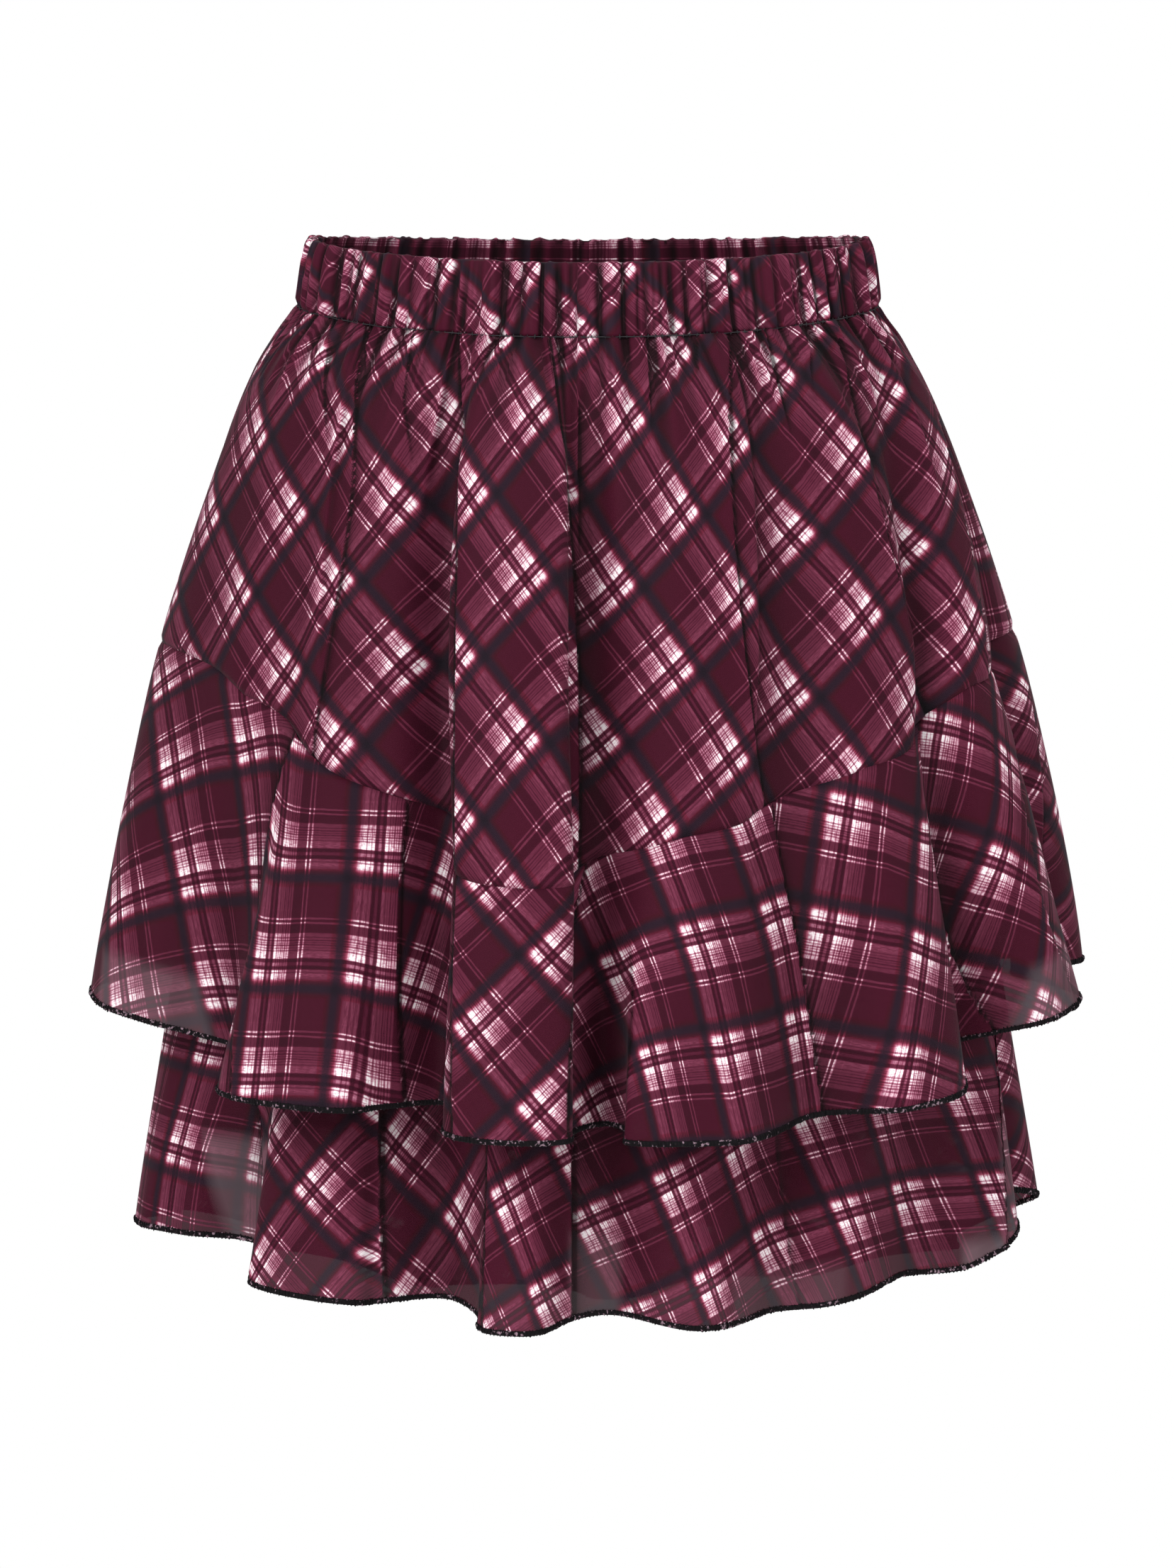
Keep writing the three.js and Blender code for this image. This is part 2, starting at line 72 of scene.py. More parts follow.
# Lines round the skirt by azimuth: mm below the waist.
LINE_COLUMNS = ["azimuth", "top", "band_seam", "outer_seam", "outer_hem", "inner_seam", "inner_hem"]
LINES = [
    (-180, 8, 36, 236, 345, 262, 464),
    (-150, 6.5, 34.5, 215, 337, 260, 452),
    (-120, 3, 31, 182, 320, 256, 420),
    (-90, 0, 27.5, 167, 309, 254, 409),
    (-62, 0.8, 28.6, 171, 324, 254, 411),
    (-48, 1.6, 30, 186, 335, 256, 420),
    (-34, 2.4, 31, 209, 345, 257, 430),
    (-19, 3, 32, 226, 346, 258, 431),
    (-9, 3.2, 32.2, 250, 354, 258, 439),
    (3, 3.2, 32.2, 241, 353, 258, 434),
    (15, 3, 32, 229, 356, 258, 438),
    (30, 2.6, 31.4, 215, 350, 257, 433),
    (46, 1.8, 30, 198, 343, 256, 424),
    (60, 0.9, 28.8, 178, 326, 254, 423),
    (90, 0, 27.5, 163, 306, 254, 399),
    (120, 3, 31, 182, 312, 256, 430),
    (150, 6.5, 34.5, 215, 332, 260, 452),
    (180, 8, 36, 236, 345, 262, 464),
]
# Folds: azimuth at the band, seam and hem; half width and rise at seam and hem; rolls of the left and right
# flanks at the seam and at the hem, in mm.
OUTER_FOLDS = [
    (-82, -80, -78, 28, 27, 4, 17, 0, 0, 4, 4),
    (-60, -52, -56, 18, 20, 3, -19, 0, 7, 0, 0),
    (-40, -35, -36, 17, 17, 6, 21, 0, 0, 25, 12),
    (-24, -19.5, -20, 12, 14, -14, -24, 0, 0, 0, 0),
    (-12.6, -9, -9.3, 12, 13, 26, 30, 15, 15, 16, 16),
    (-1, 2, 2, 12, 13, -13, -21, 0, 0, 0, 0),
    (17, 12, 17, 19, 20, 8, 20, 0, 10, 29, 0),
    (31, 27, 30, 13, 15, -5, -9, 0, 0, 0, 0),
    (45, 38, 42, 18, 23, 7, 17, 0, 9, 0, 8),
    (60, 50, 57, 11, 17, -5, -20, 0, 0, 0, 0),
    (74, 59, 72, 15, 20, 7, 18, 0, 9, 2, 9),
    (88, 76, 88, 11, 16, -7, -18, 0, 0, 0, 0),
    (99, 93, 101, 20, 22, 3, 18, 0, 0, 4, 4),
    (120, 118, 119, 14, 17, -6, -20, 0, 0, 0, 0),
    (134, 134, 134, 22, 23, 7, 20, 3, 3, 10, 10),
    (149, 149, 149, 14, 16, -7, -21, 0, 0, 0, 0),
    (162, 163, 163, 20, 22, 8, 21, 4, 4, 12, 12),
    (177, 177, 177, 17, 18, -9, -21, 0, 0, 0, 0),
    (-168, -168, -168, 20, 22, 8, 22, 4, 4, 12, 12),
    (-153, -153, -152, 15, 18, -8, -22, 0, 0, 0, 0),
    (-138, -138, -137, 22, 23, 7, 20, 3, 3, 10, 10),
    (-121, -121, -121, 15, 17, -6, -20, 0, 0, 0, 0),
    (-106, -106, -105, 20, 21, 4, 16, 0, 0, 6, 6),
    (-92, -92, -92, 11, 13, -2, -10, 0, 0, 0, 0),
]
INNER_FOLDS = [
    (-80, -80, -76, 24, 26, 2, 16, 0, 0, 3, 3),
    (-57, -57, -57, 15, 17, -2, -16, 0, 0, 0, 0),
    (-38.5, -38.5, -39, 17, 15, 2, 20, 0, 0, 16, 14),
    (-22, -22, -22, 14, 16, -2, -21, 0, 0, 0, 0),
    (-8.5, -8.5, -8.5, 13, 11, 2, 19, 0, 0, 11, 4),
    (2, 2, 2, 12, 14, -1, -10, 0, 0, 0, 0),
    (13, 13, 13, 20, 22, 2, 14, 0, 0, 0, 3),
    (26, 26, 26, 14, 15, -1, -8, 0, 0, 0, 0),
    (37, 37, 37, 16, 18, 1, 9, 0, 0, 0, 0),
    (52, 52, 52, 15, 17, -1, -6, 0, 0, 0, 0),
    (69, 69, 69, 20, 21, 2, 10, 0, 0, 0, 6),
    (86, 86, 86, 11, 13, -2, -15, 0, 0, 0, 0),
    (101, 101, 100, 18, 20, 2, 14, 0, 0, 6, 4),
    (117, 117, 117, 13, 16, -2, -15, 0, 0, 0, 0),
    (131, 131, 131, 20, 22, 2, 16, 0, 0, 8, 8),
    (146, 146, 146, 14, 17, -2, -16, 0, 0, 0, 0),
    (160, 160, 160, 19, 21, 2, 18, 0, 0, 10, 10),
    (175, 175, 175, 14, 17, -2, -17, 0, 0, 0, 0),
    (-170, -170, -170, 19, 21, 2, 17, 0, 0, 9, 9),
    (-155, -155, -155, 14, 17, -2, -16, 0, 0, 0, 0),
    (-140, -140, -140, 20, 22, 2, 17, 0, 0, 9, 9),
    (-124, -124, -124, 14, 17, -2, -15, 0, 0, 0, 0),
    (-108, -108, -108, 19, 20, 2, 13, 0, 0, 6, 6),
    (-93, -93, -93, 11, 12, -1, -8, 0, 0, 0, 0),
]
# The two layers: mean ring, folds, and the lines of the seam above the flounce and of the hem.
OUTER_LAYER = (OUTER_RING, OUTER_FOLDS, "outer_seam", "outer_hem")
INNER_LAYER = (INNER_RING, INNER_FOLDS, "inner_seam", "inner_hem")

# How the camera of the photo saw the skirt: the pixel of the frame's origin, pixels for each mm and the tilt.
PHOTO_MIDDLE = (829.5, 338.0)
PHOTO_SCALE = 3.4
ELEVATION = 7.5 * DEGREE

# Where the plaid's knots lie. A knot is the small bright square at the corner of a window of light bars, read
# off the photo. Each row gives its pixel across and down, then which repeat of the long and of the
# short thread it is on. A row with decimals is a place on the thin twin lines instead. KNOT_AT is where in a
# repeat the knot sits, and KNOT_REACH how far it pulls the plaid round it, in mm of cloth.
KNOT_AT = (0.135, 0.15)
KNOT_REACH = 26.0
KNOTS = {
    "band": [
        (522, 397, 0, 0), (640, 377, -1, -1), (750, 383, -2, -2), (888, 388, -3, -3), (1033, 397, -4, -4),
        (580, 485, -1, 0), (707, 482, -2, -1), (830, 475, -3, -2), (972, 492, -4, -3), (1167, 442, -5, -5),
    ],
    "panel_right": [
        (457, 512, 1, -1), (362, 620, 1, 0), (425, 730, 0, 0), (347, 837, 0, 1), (418, 948, -1, 1),
        (493, 830, -1, 0), (486, 1048, -2, 1),
    ],
    "panel_right_inner": [
        (580, 485, 0, -2), (652, 593, -1, -2), (585, 710, -1, -1), (588, 932, -2, 0), (493, 830, -1, 0),
        (486, 1048, -2, 1),
    ],
    "panel_centre": [
        (707, 482, 1, -1), (772, 590, 0, -1), (677, 705, 0, 0), (763, 820, -1, 0), (656, 932, -1, 1),
        (750, 1046, -2, 1), (659, 1153, -2, 2),
    ],
    "panel_left": [
        (830, 477, 2, 2), (900, 600, 1, 2), (977, 730, 0, 2), (972, 492, 1, 1), (1037, 630, 0, 1),
        (813, 700, 1, 3), (883, 830, 0, 3), (967, 954, -1, 3), (866, 1047, -1, 4), (1054, 1078, -2, 3),
        (1107, 532, 0, 0), (1212, 647, -1, 0), (1128, 757, -1, 1), (1230, 875, -2, 1), (1125, 980, -2, 2),
        (1167, 442, 0, -1), (1268, 550, -1, -1), (1307, 770, -2, 0),
    ],
    "upper_right": [
        (228, 1103, 0, 0), (348, 1065, 0, 1), (263, 1259, -1, 0), (157, 1290, -1, -1), (286, 1410, -2, 0),
        (168, 1437, -2, -1),
    ],
    "upper_right_inner": [
        (383, 1208, 0, 0), (522, 1215, 0, 1), (367, 1370, -1, 0), (505, 1376, -1, 1), (349, 1528, -2, 0),
        (485, 1538, -2, 1),
    ],
    "upper_strip": [(620, 1253, 0, 0), (576, 1402, -1, 0), (622, 1424, -1, 0.46)],
    "upper_centre": [(652, 1447, 0, 0), (762, 1340, 1, 0), (748, 1558, 0, 1), (666, 1233, 1, -1)],
    "upper_left": [
        (960, 1308, 0, 0), (863, 1362, 0, -1), (832, 1547, 1, -2), (998, 1460, 1, 0), (1093, 1277, 0, 1),
        (1123, 1435, 1, 1),
    ],
    "upper_left_middle": [
        (1152, 1290, 0, 2), (1297, 1322, 0, 3), (1272, 1475, 1, 3), (1175, 1132, -1, 2), (1307, 1165, -1, 3),
    ],
    "upper_left_outer": [
        (1303, 1012, -2, 3), (1307, 1165, -1, 3), (1421, 1060, -2, 4), (1385, 1208, -1, 4),
        (1478, 1407, 0, 5),
    ],
    "lower_right": [(235, 1631, 0, 0), (350, 1657, 0, 1), (273, 1487, 1, 0)],
    "lower_right_inner": [(420, 1678, 0, 0), (537, 1568, 1, 0), (533, 1767, 0, 1)],
    "lower_strip": [(537, 1613, 0, -1), (630, 1717, 0, 0), (620, 1608, 0.47, -0.54)],
    "lower_centre": [(695, 1678, 0, 0), (762, 1810, 1, 0), (776, 1714, 0.47, 0.46)],
    "lower_left": [
        (822, 1712, 0, 0), (928, 1660, 0, 1), (883, 1847, 1, 0), (987, 1805, 1, 1), (1085, 1733, 1, 2),
        (1170, 1700, 1, 3), (1272, 1677, 1, 4), (1407, 1668, 1, 5),
    ],
}
# Lays given where no knot can be read: for the long and then the short thread, repeats for each metre
# across and down, and the place in the repeat at the start. The back has the grain seen at the sides.
BAND_LAY = ((11.95, 0.0, 0.51), (0.0, -24.4, 0.30))
PANEL_LAY = ((0.6, -20.7, 0.30), (-24.4, -0.6, 0.20))
UPPER_LAY = ((0.8, 20.6, 0.10), (24.3, -1.0, 0.40))
LOWER_LAY = ((10.0, 18.1, 0.35), (21.3, -11.8, 0.15))

# How the plaid lies on each piece. Folds that hide cloth split it into patches, and each patch follows a list
# of knots or a given lay. edges: where one patch ends and the next begins, in mm of cloth to the
# wearer's left of the centre, at each of three depths below the piece's top edge. laps: 1 where the patch on
# the wearer's right lies over the next one, -1 where it lies under.
CHARTS = {
    "front_band": {"depths": (0, 15, 30), "edges": [], "laps": (), "patches": ["band"]},
    "front_panel": {
        "depths": (0, 110, 225),
        "edges": [(-97, -117, -140), (-54, -58, -60), (-16, -5, -4), (60, 62, 80), (112, 135, 180),
                  (166, 186, 190)],
        "laps": (1, -1, 1, 1, 1, 1),
        "patches": ["panel_right", "panel_right_inner", "panel_centre", "panel_left", "panel_left",
                    "panel_left", PANEL_LAY],
    },
    "front_upper": {
        "depths": (0, 60, 130),
        "edges": [(-142, -160, -164), (-90, -94, -94), (-59, -61, -60), (-1, -11, -11), (78, 91, 111),
                  (152, 166, 196), (219, 205, 228)],
        "laps": (-1, 1, -1, 1, 1, 1, 1),
        "patches": ["upper_right", "upper_right_inner", "upper_strip", "upper_centre", "upper_left",
                    "upper_left_middle", "upper_left_outer", UPPER_LAY],
    },
    "front_lower": {
        "depths": (60, 120, 180),
        "edges": [(-158, -158, -146), (-86, -86, -87), (-43, -44, -45), (-7, -5, -5), (200, 196, 195)],
        "laps": (-1, 1, -1, 1, 1),
        "patches": ["lower_right", "lower_right_inner", "lower_strip", "lower_centre", "lower_left",
                    LOWER_LAY],
    },
}
for part, lay in (("band", BAND_LAY), ("panel", PANEL_LAY), ("upper", UPPER_LAY), ("lower", LOWER_LAY)):
    CHARTS["back_" + part] = {"depths": (0, 60, 120), "edges": [], "laps": (), "patches": [lay]}

# Sizes of the cloth, in mm: walls, and how far each layer's shell is moved in from the face of its solid.
BAND_THICKNESS = 3.0
LINING_INSET = 1.7
SHELL_INSET = 0.4
CLOTH = 0.4
# Inner radius of the ring that each flounce is cut from, in mm.
UPPER_CUT_RADIUS = 185.0
LOWER_CUT_RADIUS = 260.0
# Gathers round the skirt, their rise in mm, and the share of the panel's height over which they fade.
GATHERS = 66
BAND_GATHER = 1.3
PANEL_GATHER = 1.6
PANEL_GATHER_FADE = 0.42
# How much longer the flat cloth is: the band's, and the panel's extra at its seam, fading over so many mm.
BAND_FULLNESS = 1.55
SEAM_FULLNESS = 0.5
FULLNESS_FADE = 45.0
# Cloth hidden between two gathers, in mm, and how far down the panel this reaches.
VALLEY_CLOTH = 3.2
VALLEY_FADE = 22.0
# Rise, in mm, of cloth where it laps over the cloth beside it, and the furthest that creases and laps move the
# panel in and out.
LAP_RISE = 0.9
CREASE_LIMITS = (-2.6, 2.9)
# Depth and width, in mm, by which an edge is turned in at its seam, and the run of cloth from the band's, the
# panel's and the flounces' edges that this is worked out over.
BAND_TUCK = (1.1, 1.6)
FLOUNCE_TUCK = (0.9, 1.4)
BAND_RUN, PANEL_TOP_RUN, PANEL_FOOT_RUN, FLOUNCE_RUN = 29, 200, 190, 140
# For the painted shade: the reaches, in mm, over which a point is compared with the cloth round it, with the
# weight of each, and how much of a fold's own rise counts.
HOLLOW_REACHES = ((1.8, 1.1), (9.0, 0.4))
FOLD_SHARE = 0.45
# Columns and rows of each piece's grid, and the azimuths of each half's ends and middle.
PANEL_GRID = {"front": (640, 76), "back": (420, 60)}
FLOUNCE_GRID = {"front": (560, 52), "back": (400, 44)}
LINING_GRID = (160, 20)
BAND_COLUMNS = {"front": 640, "back": 480}
HALF_ENDS = {"front": (-90.0, 90.0), "back": (90.0, 270.0)}
HALF_MIDDLE = {"front": 0.0, "back": 180.0}


def mix(a, b, share):
    return a + (b - a) * share


def wrap(azimuth):
    return azimuth - 360 * np.round(azimuth / 360)


def read_table(rows, column, x):
    """A smooth curve through a table's rows, as the solids read it. The first column is the key."""
    table = np.array(rows, float)
    keys, values = table[:, 0], table[:, column]
    last = len(keys) - 1
    before, after = np.maximum(np.arange(last + 1) - 1, 0), np.minimum(np.arange(last + 1) + 1, last)
    slopes = (values[after] - values[before]) / (keys[after] - keys[before])
    x = np.clip(x, keys[0], keys[-1])
    i = np.clip(np.searchsorted(keys, x, side="left") - 1, 0, last - 1)
    width = keys[i + 1] - keys[i]
    t = (x - keys[i]) / width
    bow = 2 * t ** 3 - 3 * t ** 2
    return (values[i] * (bow + 1) - values[i + 1] * bow
            + width * (slopes[i] * (t ** 3 - 2 * t ** 2 + t) + slopes[i + 1] * (t ** 3 - t ** 2)))


def line_drop(line, azimuth):
    return read_table(LINES, LINE_COLUMNS.index(line), wrap(azimuth))


def ring_point(ring, azimuth, drop):
    """The mean ring: x, y, the mm run for each degree, and the sideways and outward directions."""
    turn = azimuth * DEGREE
    side = read_table(ring, 1, drop)
    depth = np.where(np.cos(turn) > 0, read_table(ring, 2, drop), read_table(ring, 3, drop))
    along = np.stack([side * np.cos(turn), depth * np.sin(turn)], -1)
    length = np.linalg.norm(along, axis=-1)
    along = along / length[..., None]
    outward = np.stack([along[..., 1], -along[..., 0]], -1)
    place = np.stack([side * np.sin(turn), -depth * np.cos(turn)], -1)
    return place, length * DEGREE, along, outward


def fold_shift(folds, azimuth, level, pace):
    """How far the folds move the cloth outwards and sideways, in mm."""
    down, flare = np.clip(level, 0, 1), np.clip(level - 1, 0, 1)
    grown, rolled = 1 - (1 - down) ** 3, 1 - (1 - down) ** 6
    outwards, sideways = 0.0, 0.0
    for (top_at, seam_at, hem_at, seam_span, hem_span, seam_rise, hem_rise,
         seam_left, seam_right, hem_left, hem_right) in folds:
        middle = mix(mix(top_at, seam_at, down), hem_at, flare)
        q = wrap(azimuth - middle) * pace / mix(seam_span, hem_span, flare)
        rise = mix(seam_rise * grown, hem_rise, flare)
        left = mix(seam_left * rolled, hem_left, flare)
        right = mix(seam_right * rolled, hem_right, flare)
        roll = np.where(q < 0, left, right)
        outwards = outwards + rise * np.exp(-q * q)
        sideways = sideways + roll * math.sqrt(2) * q * np.exp(0.5 - q * q)
    return outwards, sideways


def gather_turns(azimuth):
    """How many gathers have gone by at this azimuth."""
    turn = azimuth * DEGREE
    along = turn + 0.13 * np.sin(2 * turn)
    uneven = 1.4 * np.sin(5 * turn + 0.6) + 0.9 * np.sin(11 * turn + 2.1)
    return (GATHERS * along + uneven) / (2 * math.pi)


def gather_wave(azimuth):
    return np.sin(2 * math.pi * gather_turns(azimuth))


def hidden_cloth(azimuth):
    """How far the plaid is ahead, in mm, because each valley between two gathers hides some cloth."""
    return -VALLEY_CLOTH * ((gather_turns(azimuth) + 0.25) % 1 - 0.5)


def band_point(azimuth, level, gather=0.0):
    top, seam = line_drop("top", azimuth), line_drop("band_seam", azimuth)
    drop = mix(top, seam, level)
    place, _, _, outward = ring_point(OUTER_RING, azimuth, drop - top * (1 - level))
    out = 1 - (2 * level - 1) ** 2 + gather
    return np.concatenate([place + outward * out[..., None], -drop[..., None]], -1)


def ring_and_folds(layer, azimuth, level):
    """A layer's drop, mean ring and folds. Level 0 is the band seam, 1 the flounce's seam and 2 its hem."""
    ring, folds, seam, hem = layer
    drop = mix(line_drop("band_seam", azimuth), line_drop(seam, azimuth), np.clip(level, 0, 1))
    drop = mix(drop, line_drop(hem, azimuth), np.clip(level - 1, 0, 1))
    place, pace, along, outward = ring_point(ring, azimuth, drop)
    return drop, place, pace, along, outward, *fold_shift(folds, azimuth, level, pace)


def moved(place, along, outward, out, side, drop):
    """Points moved out and sideways from the mean ring, at their drop."""
    flat = place + outward * out[..., None] + along * side[..., None]
    return np.concatenate([flat, -drop[..., None]], -1)


def layer_point(layer, azimuth, level):
    drop, place, _, along, outward, outwards, sideways = ring_and_folds(layer, azimuth, level)
    return moved(place, along, outward, outwards, sideways, drop)


def outer_point(azimuth, level):
    return layer_point(OUTER_LAYER, azimuth, level)


def inner_point(azimuth, level):
    return layer_point(INNER_LAYER, azimuth, level)


def even_azimuths(surface, level, start, end, columns):
    """Azimuths from one side seam to the other, evenly spaced along the cloth at a level."""
    azimuth = np.linspace(start, end, columns * 6 + 1)
    place = surface(azimuth, np.full_like(azimuth, level))
    length = np.concatenate([[0], np.cumsum(np.linalg.norm(np.diff(place, axis=0), axis=1))])
    return np.interp(np.linspace(0, length[-1], columns + 1), length, azimuth)


def added_up(across, place, azimuths, middle):
    """Lengths of cloth from the middle column and from the top row, from the length of each step across."""
    rows, columns = place.shape[:2]
    across = np.concatenate([np.zeros((rows, 1)), np.cumsum(across, axis=1)], 1)
    centre = np.array([np.interp(middle, azimuths, row) for row in across])
    down = np.linalg.norm(np.diff(place, axis=0), axis=2)
    down = np.concatenate([np.zeros((1, columns)), np.cumsum(down, axis=0)], 0)
    return across - centre[:, None], down


def cloth_lengths(surface, azimuths, levels, middle):
    """Length of cloth along each row from the middle column, and down each column from the top row."""
    place = surface(*np.meshgrid(azimuths, levels))
    return added_up(np.linalg.norm(np.diff(place, axis=1), axis=2), place, azimuths, middle)


def laid_lengths(surface, ring, azimuths, levels, middle):
    """The same lengths, in mm, but where the cloth turns away in a fold, only the part that faces out is
    counted, with at least 0.3 of its length, because the plaid was read from outside."""
    azimuth, level = np.meshgrid(azimuths, levels)
    place = surface(azimuth, level)
    _, _, along, _ = ring_point(ring, azimuth, -place[..., 2])
    step = np.diff(place, axis=1)
    facing = (step[..., :2] * (along[:, 1:] + along[:, :-1]) / 2).sum(-1)
    across = np.maximum(facing, 0.3 * np.linalg.norm(step, axis=2))
    return added_up(across, place, azimuths, middle)


# Creases of the top panel, from the band down: azimuth at the band and at the flounce seam, level
# where each ends, half width and rise in mm, and 1 for a lap, where the cloth on the left lies on top.
PANEL_CREASES = [
    (-49, -35, 1.10, 11, 1.5, 1), (-33, -30, 0.60, 4, 1.5, 0), (-26, -27, 0.50, 4, 1.6, 1),
    (-19, -22, 0.45, 3, -1.5, 0), (-10, -12, 0.42, 4, -1.4, 0), (3, 6, 0.55, 4, 1.6, 0),
    (13, 12, 0.40, 4, -1.5, 0), (27, 19, 1.20, 12, 1.5, 1), (37, 32, 0.55, 5, 1.5, 0),
    (46, 48, 1.20, 12, 1.5, 1), (57, 53, 0.60, 5, 1.4, 0), (70, 62, 0.60, 5, 1.4, 1),
    (128, 126, 0.70, 6, 1.4, 0), (143, 142, 0.90, 6, 1.5, 1), (170, 170, 0.70, 6, 1.5, 0),
    (-175, -176, 0.80, 6, 1.4, 1), (-147, -146, 0.90, 6, 1.5, 0), (-128, -129, 0.60, 6, 1.4, 1),
    (-100, -100, 0.70, 6, 1.4, 0),
]


def small_gathers(seed, count, longest):
    """Rows like PANEL_CREASES for the little pleats that the elastic makes, each of its own length."""
    rng = np.random.default_rng(seed)
    rows = []
    for i in range(count):
        azimuth = -180 + 360 * (i + rng.uniform(-0.45, 0.45)) / count
        rows.append((azimuth, azimuth + rng.uniform(-2.5, 2.5), rng.uniform(0.05, longest),
                     rng.uniform(0.7, 2.0), rng.choice([-1, -1, 1]) * rng.uniform(0.6, 1.7), 0))
    return rows


def crease_shift(creases, azimuth, level, pace):
    """How far the creases move the cloth outwards, in mm. Each eases off towards its lower end."""
    outwards = np.zeros_like(azimuth)
    for top_at, low_at, end, span, rise, lap in creases:
        past = wrap(azimuth - mix(top_at, low_at, np.clip(level, 0, 1))) * pace
        shape = np.exp(-((past / span) ** 2))
        if lap:
            shape = shape * (0.2 - 0.8 * np.tanh(past / 0.7))
        fall = np.clip((end - level) / (0.6 * end), 0, 1)
        outwards += rise * (fall * fall * (3 - 2 * fall)) * shape
    return outwards


def outward_normals(place):
    """Level outward directions of a grid of points."""
    normal = np.cross(np.gradient(place, axis=0), np.gradient(place, axis=1))
    normal[..., 2] = 0
    return normal / np.linalg.norm(normal, axis=2, keepdims=True)


def hollows(outwards, azimuths, surface, level):
    """How deep each point lies in a crease or valley, from the run of the cloth round it, in mm."""
    step = np.linalg.norm(np.diff(surface(azimuths, np.full_like(azimuths, level)), axis=0), axis=1).mean()
    depth = np.zeros_like(outwards)
    for reach, share in HOLLOW_REACHES:
        half = max(1, int(3 * reach / step))
        weights = np.exp(-0.5 * (np.arange(-half, half + 1) * step / reach) ** 2)
        weights /= weights.sum()
        padded = np.pad(outwards, ((0, 0), (half, half)), mode="edge")
        around = np.array([np.convolve(row, weights, mode="valid") for row in padded])
        depth += share * (around - outwards)
    return depth


def grid_faces(rows, columns, start=0, flip=False):
    at = start + np.arange(rows * columns).reshape(rows, columns)
    quads = np.stack([at[:-1, :-1], at[1:, :-1], at[1:, 1:], at[:-1, 1:]], -1).reshape(-1, 4)
    return quads[:, ::-1] if flip else quads


def new_object(name, data):
    made = bpy.data.objects.new(name, data)
    bpy.context.scene.collection.objects.link(made)
    return made


def make_mesh(name, points, faces, corner_uv, marks):
    """A mesh piece in metres from points in mm, with a UV map, cloth, given for each corner of each face, and
    marks, named values given for each point."""
    mesh = bpy.data.meshes.new(name)
    mesh.vertices.add(len(points))
    mesh.vertices.foreach_set("co", (np.asarray(points, float) * MM).ravel())
    mesh.loops.add(faces.size)
    mesh.polygons.add(len(faces))
    mesh.loops.foreach_set("vertex_index", faces.ravel())
    mesh.polygons.foreach_set("loop_start", np.arange(0, faces.size, faces.shape[1]))
    mesh.polygons.foreach_set("loop_total", np.full(len(faces), faces.shape[1]))
    mesh.update(calc_edges=True)
    layer = mesh.uv_layers.new(name="cloth")
    layer.data.foreach_set("uv", np.asarray(corner_uv, float).ravel())
    for mark, values in marks.items():
        attribute = mesh.attributes.new(mark, "FLOAT", "POINT")
        attribute.data.foreach_set("value", np.asarray(values, float).ravel())
    mesh.polygons.foreach_set("use_smooth", np.ones(len(faces), bool))
    return new_object(name, mesh)


def close_and_turn_out(piece):
    """Fills the open ends of a piece and makes its faces point outwards."""
    work = bmesh.new()
    work.from_mesh(piece.data)
    bmesh.ops.holes_fill(work, edges=[e for e in work.edges if e.is_boundary], sides=0)
    bmesh.ops.recalc_face_normals(work, faces=work.faces)
    work.to_mesh(piece.data)
    work.free()


def cloth_shell(name, place, inset, lays, patch, hollow, thin):
    """A thin closed shell: the grid moved in by inset, its back face a cloth's thickness further in. lays
    holds one UV grid for each patch of the plaid's chart, and patch has the patch of each grid cell."""
    rows, columns = place.shape[:2]
    normal = outward_normals(place)
    outer = place - normal * inset
    inner = outer - normal * CLOTH
    count = rows * columns
    at = np.arange(count).reshape(rows, columns)
    front, back = grid_faces(rows, columns), grid_faces(rows, columns, count, flip=True)
    rim = np.concatenate([at[0, :-1], at[:-1, -1], at[-1, :0:-1], at[:0:-1, 0]])
    after = np.roll(rim, -1)
    edge = np.stack([rim, after, after + count, rim + count], -1)
    cells = patch.ravel()
    beside = np.minimum(rim // columns, rows - 2), np.minimum(rim % columns, columns - 2)
    flat_lays = lays.reshape(len(lays), count, 2)
    faces = np.concatenate([front, back, edge])
    which = np.concatenate([cells, cells, patch[beside]])
    corner_uv = flat_lays[which[:, None], faces % count]
    points = np.concatenate([outer.reshape(-1, 3), inner.reshape(-1, 3)])
    # painted shade, turned over for the back face, and painted paleness of light coming through single layers
    marks = {"hollow": np.concatenate([hollow.ravel(), -hollow.ravel()]),
             "thin": np.concatenate([thin.ravel(), thin.ravel()])}
    return make_mesh(name, points, faces, corner_uv, marks)


def depth_shares(depths, down):
    """The weight of the chart's three depths at each point, for a curve through all three."""
    first, second, third = depths
    x = np.clip(down, first - 5, third + 25)
    return ((x - second) * (x - third) / ((first - second) * (first - third)),
            (x - first) * (x - third) / ((second - first) * (second - third)),
            (x - first) * (x - second) / ((third - first) * (third - second)))


# In pixels: how much further away a point outside the knot's own patch counts, and how close together points
# lie in one spot, where the camera saw the nearest.
OTHER_PATCH = 25
SAME_SPOT = 3


def knots_on_cloth(rows, place, cells):
    """For each knot read off the photo, the grid point of the patch that the camera saw there."""
    right = PHOTO_MIDDLE[0] + PHOTO_SCALE * place[..., 0]
    rise = place[..., 2] * math.cos(ELEVATION) + place[..., 1] * math.sin(ELEVATION)
    below = PHOTO_MIDDLE[1] - PHOTO_SCALE * rise
    found = []
    for x, y, _, _ in rows:
        apart = np.hypot(right - x, below - y) + np.where(cells, 0, OTHER_PATCH)
        near = apart < apart.min() + SAME_SPOT
        depth = np.where(near, place[..., 1], np.inf)
        found.append(np.unravel_index(np.argmin(depth), near.shape))
    return tuple(np.array(found).T)


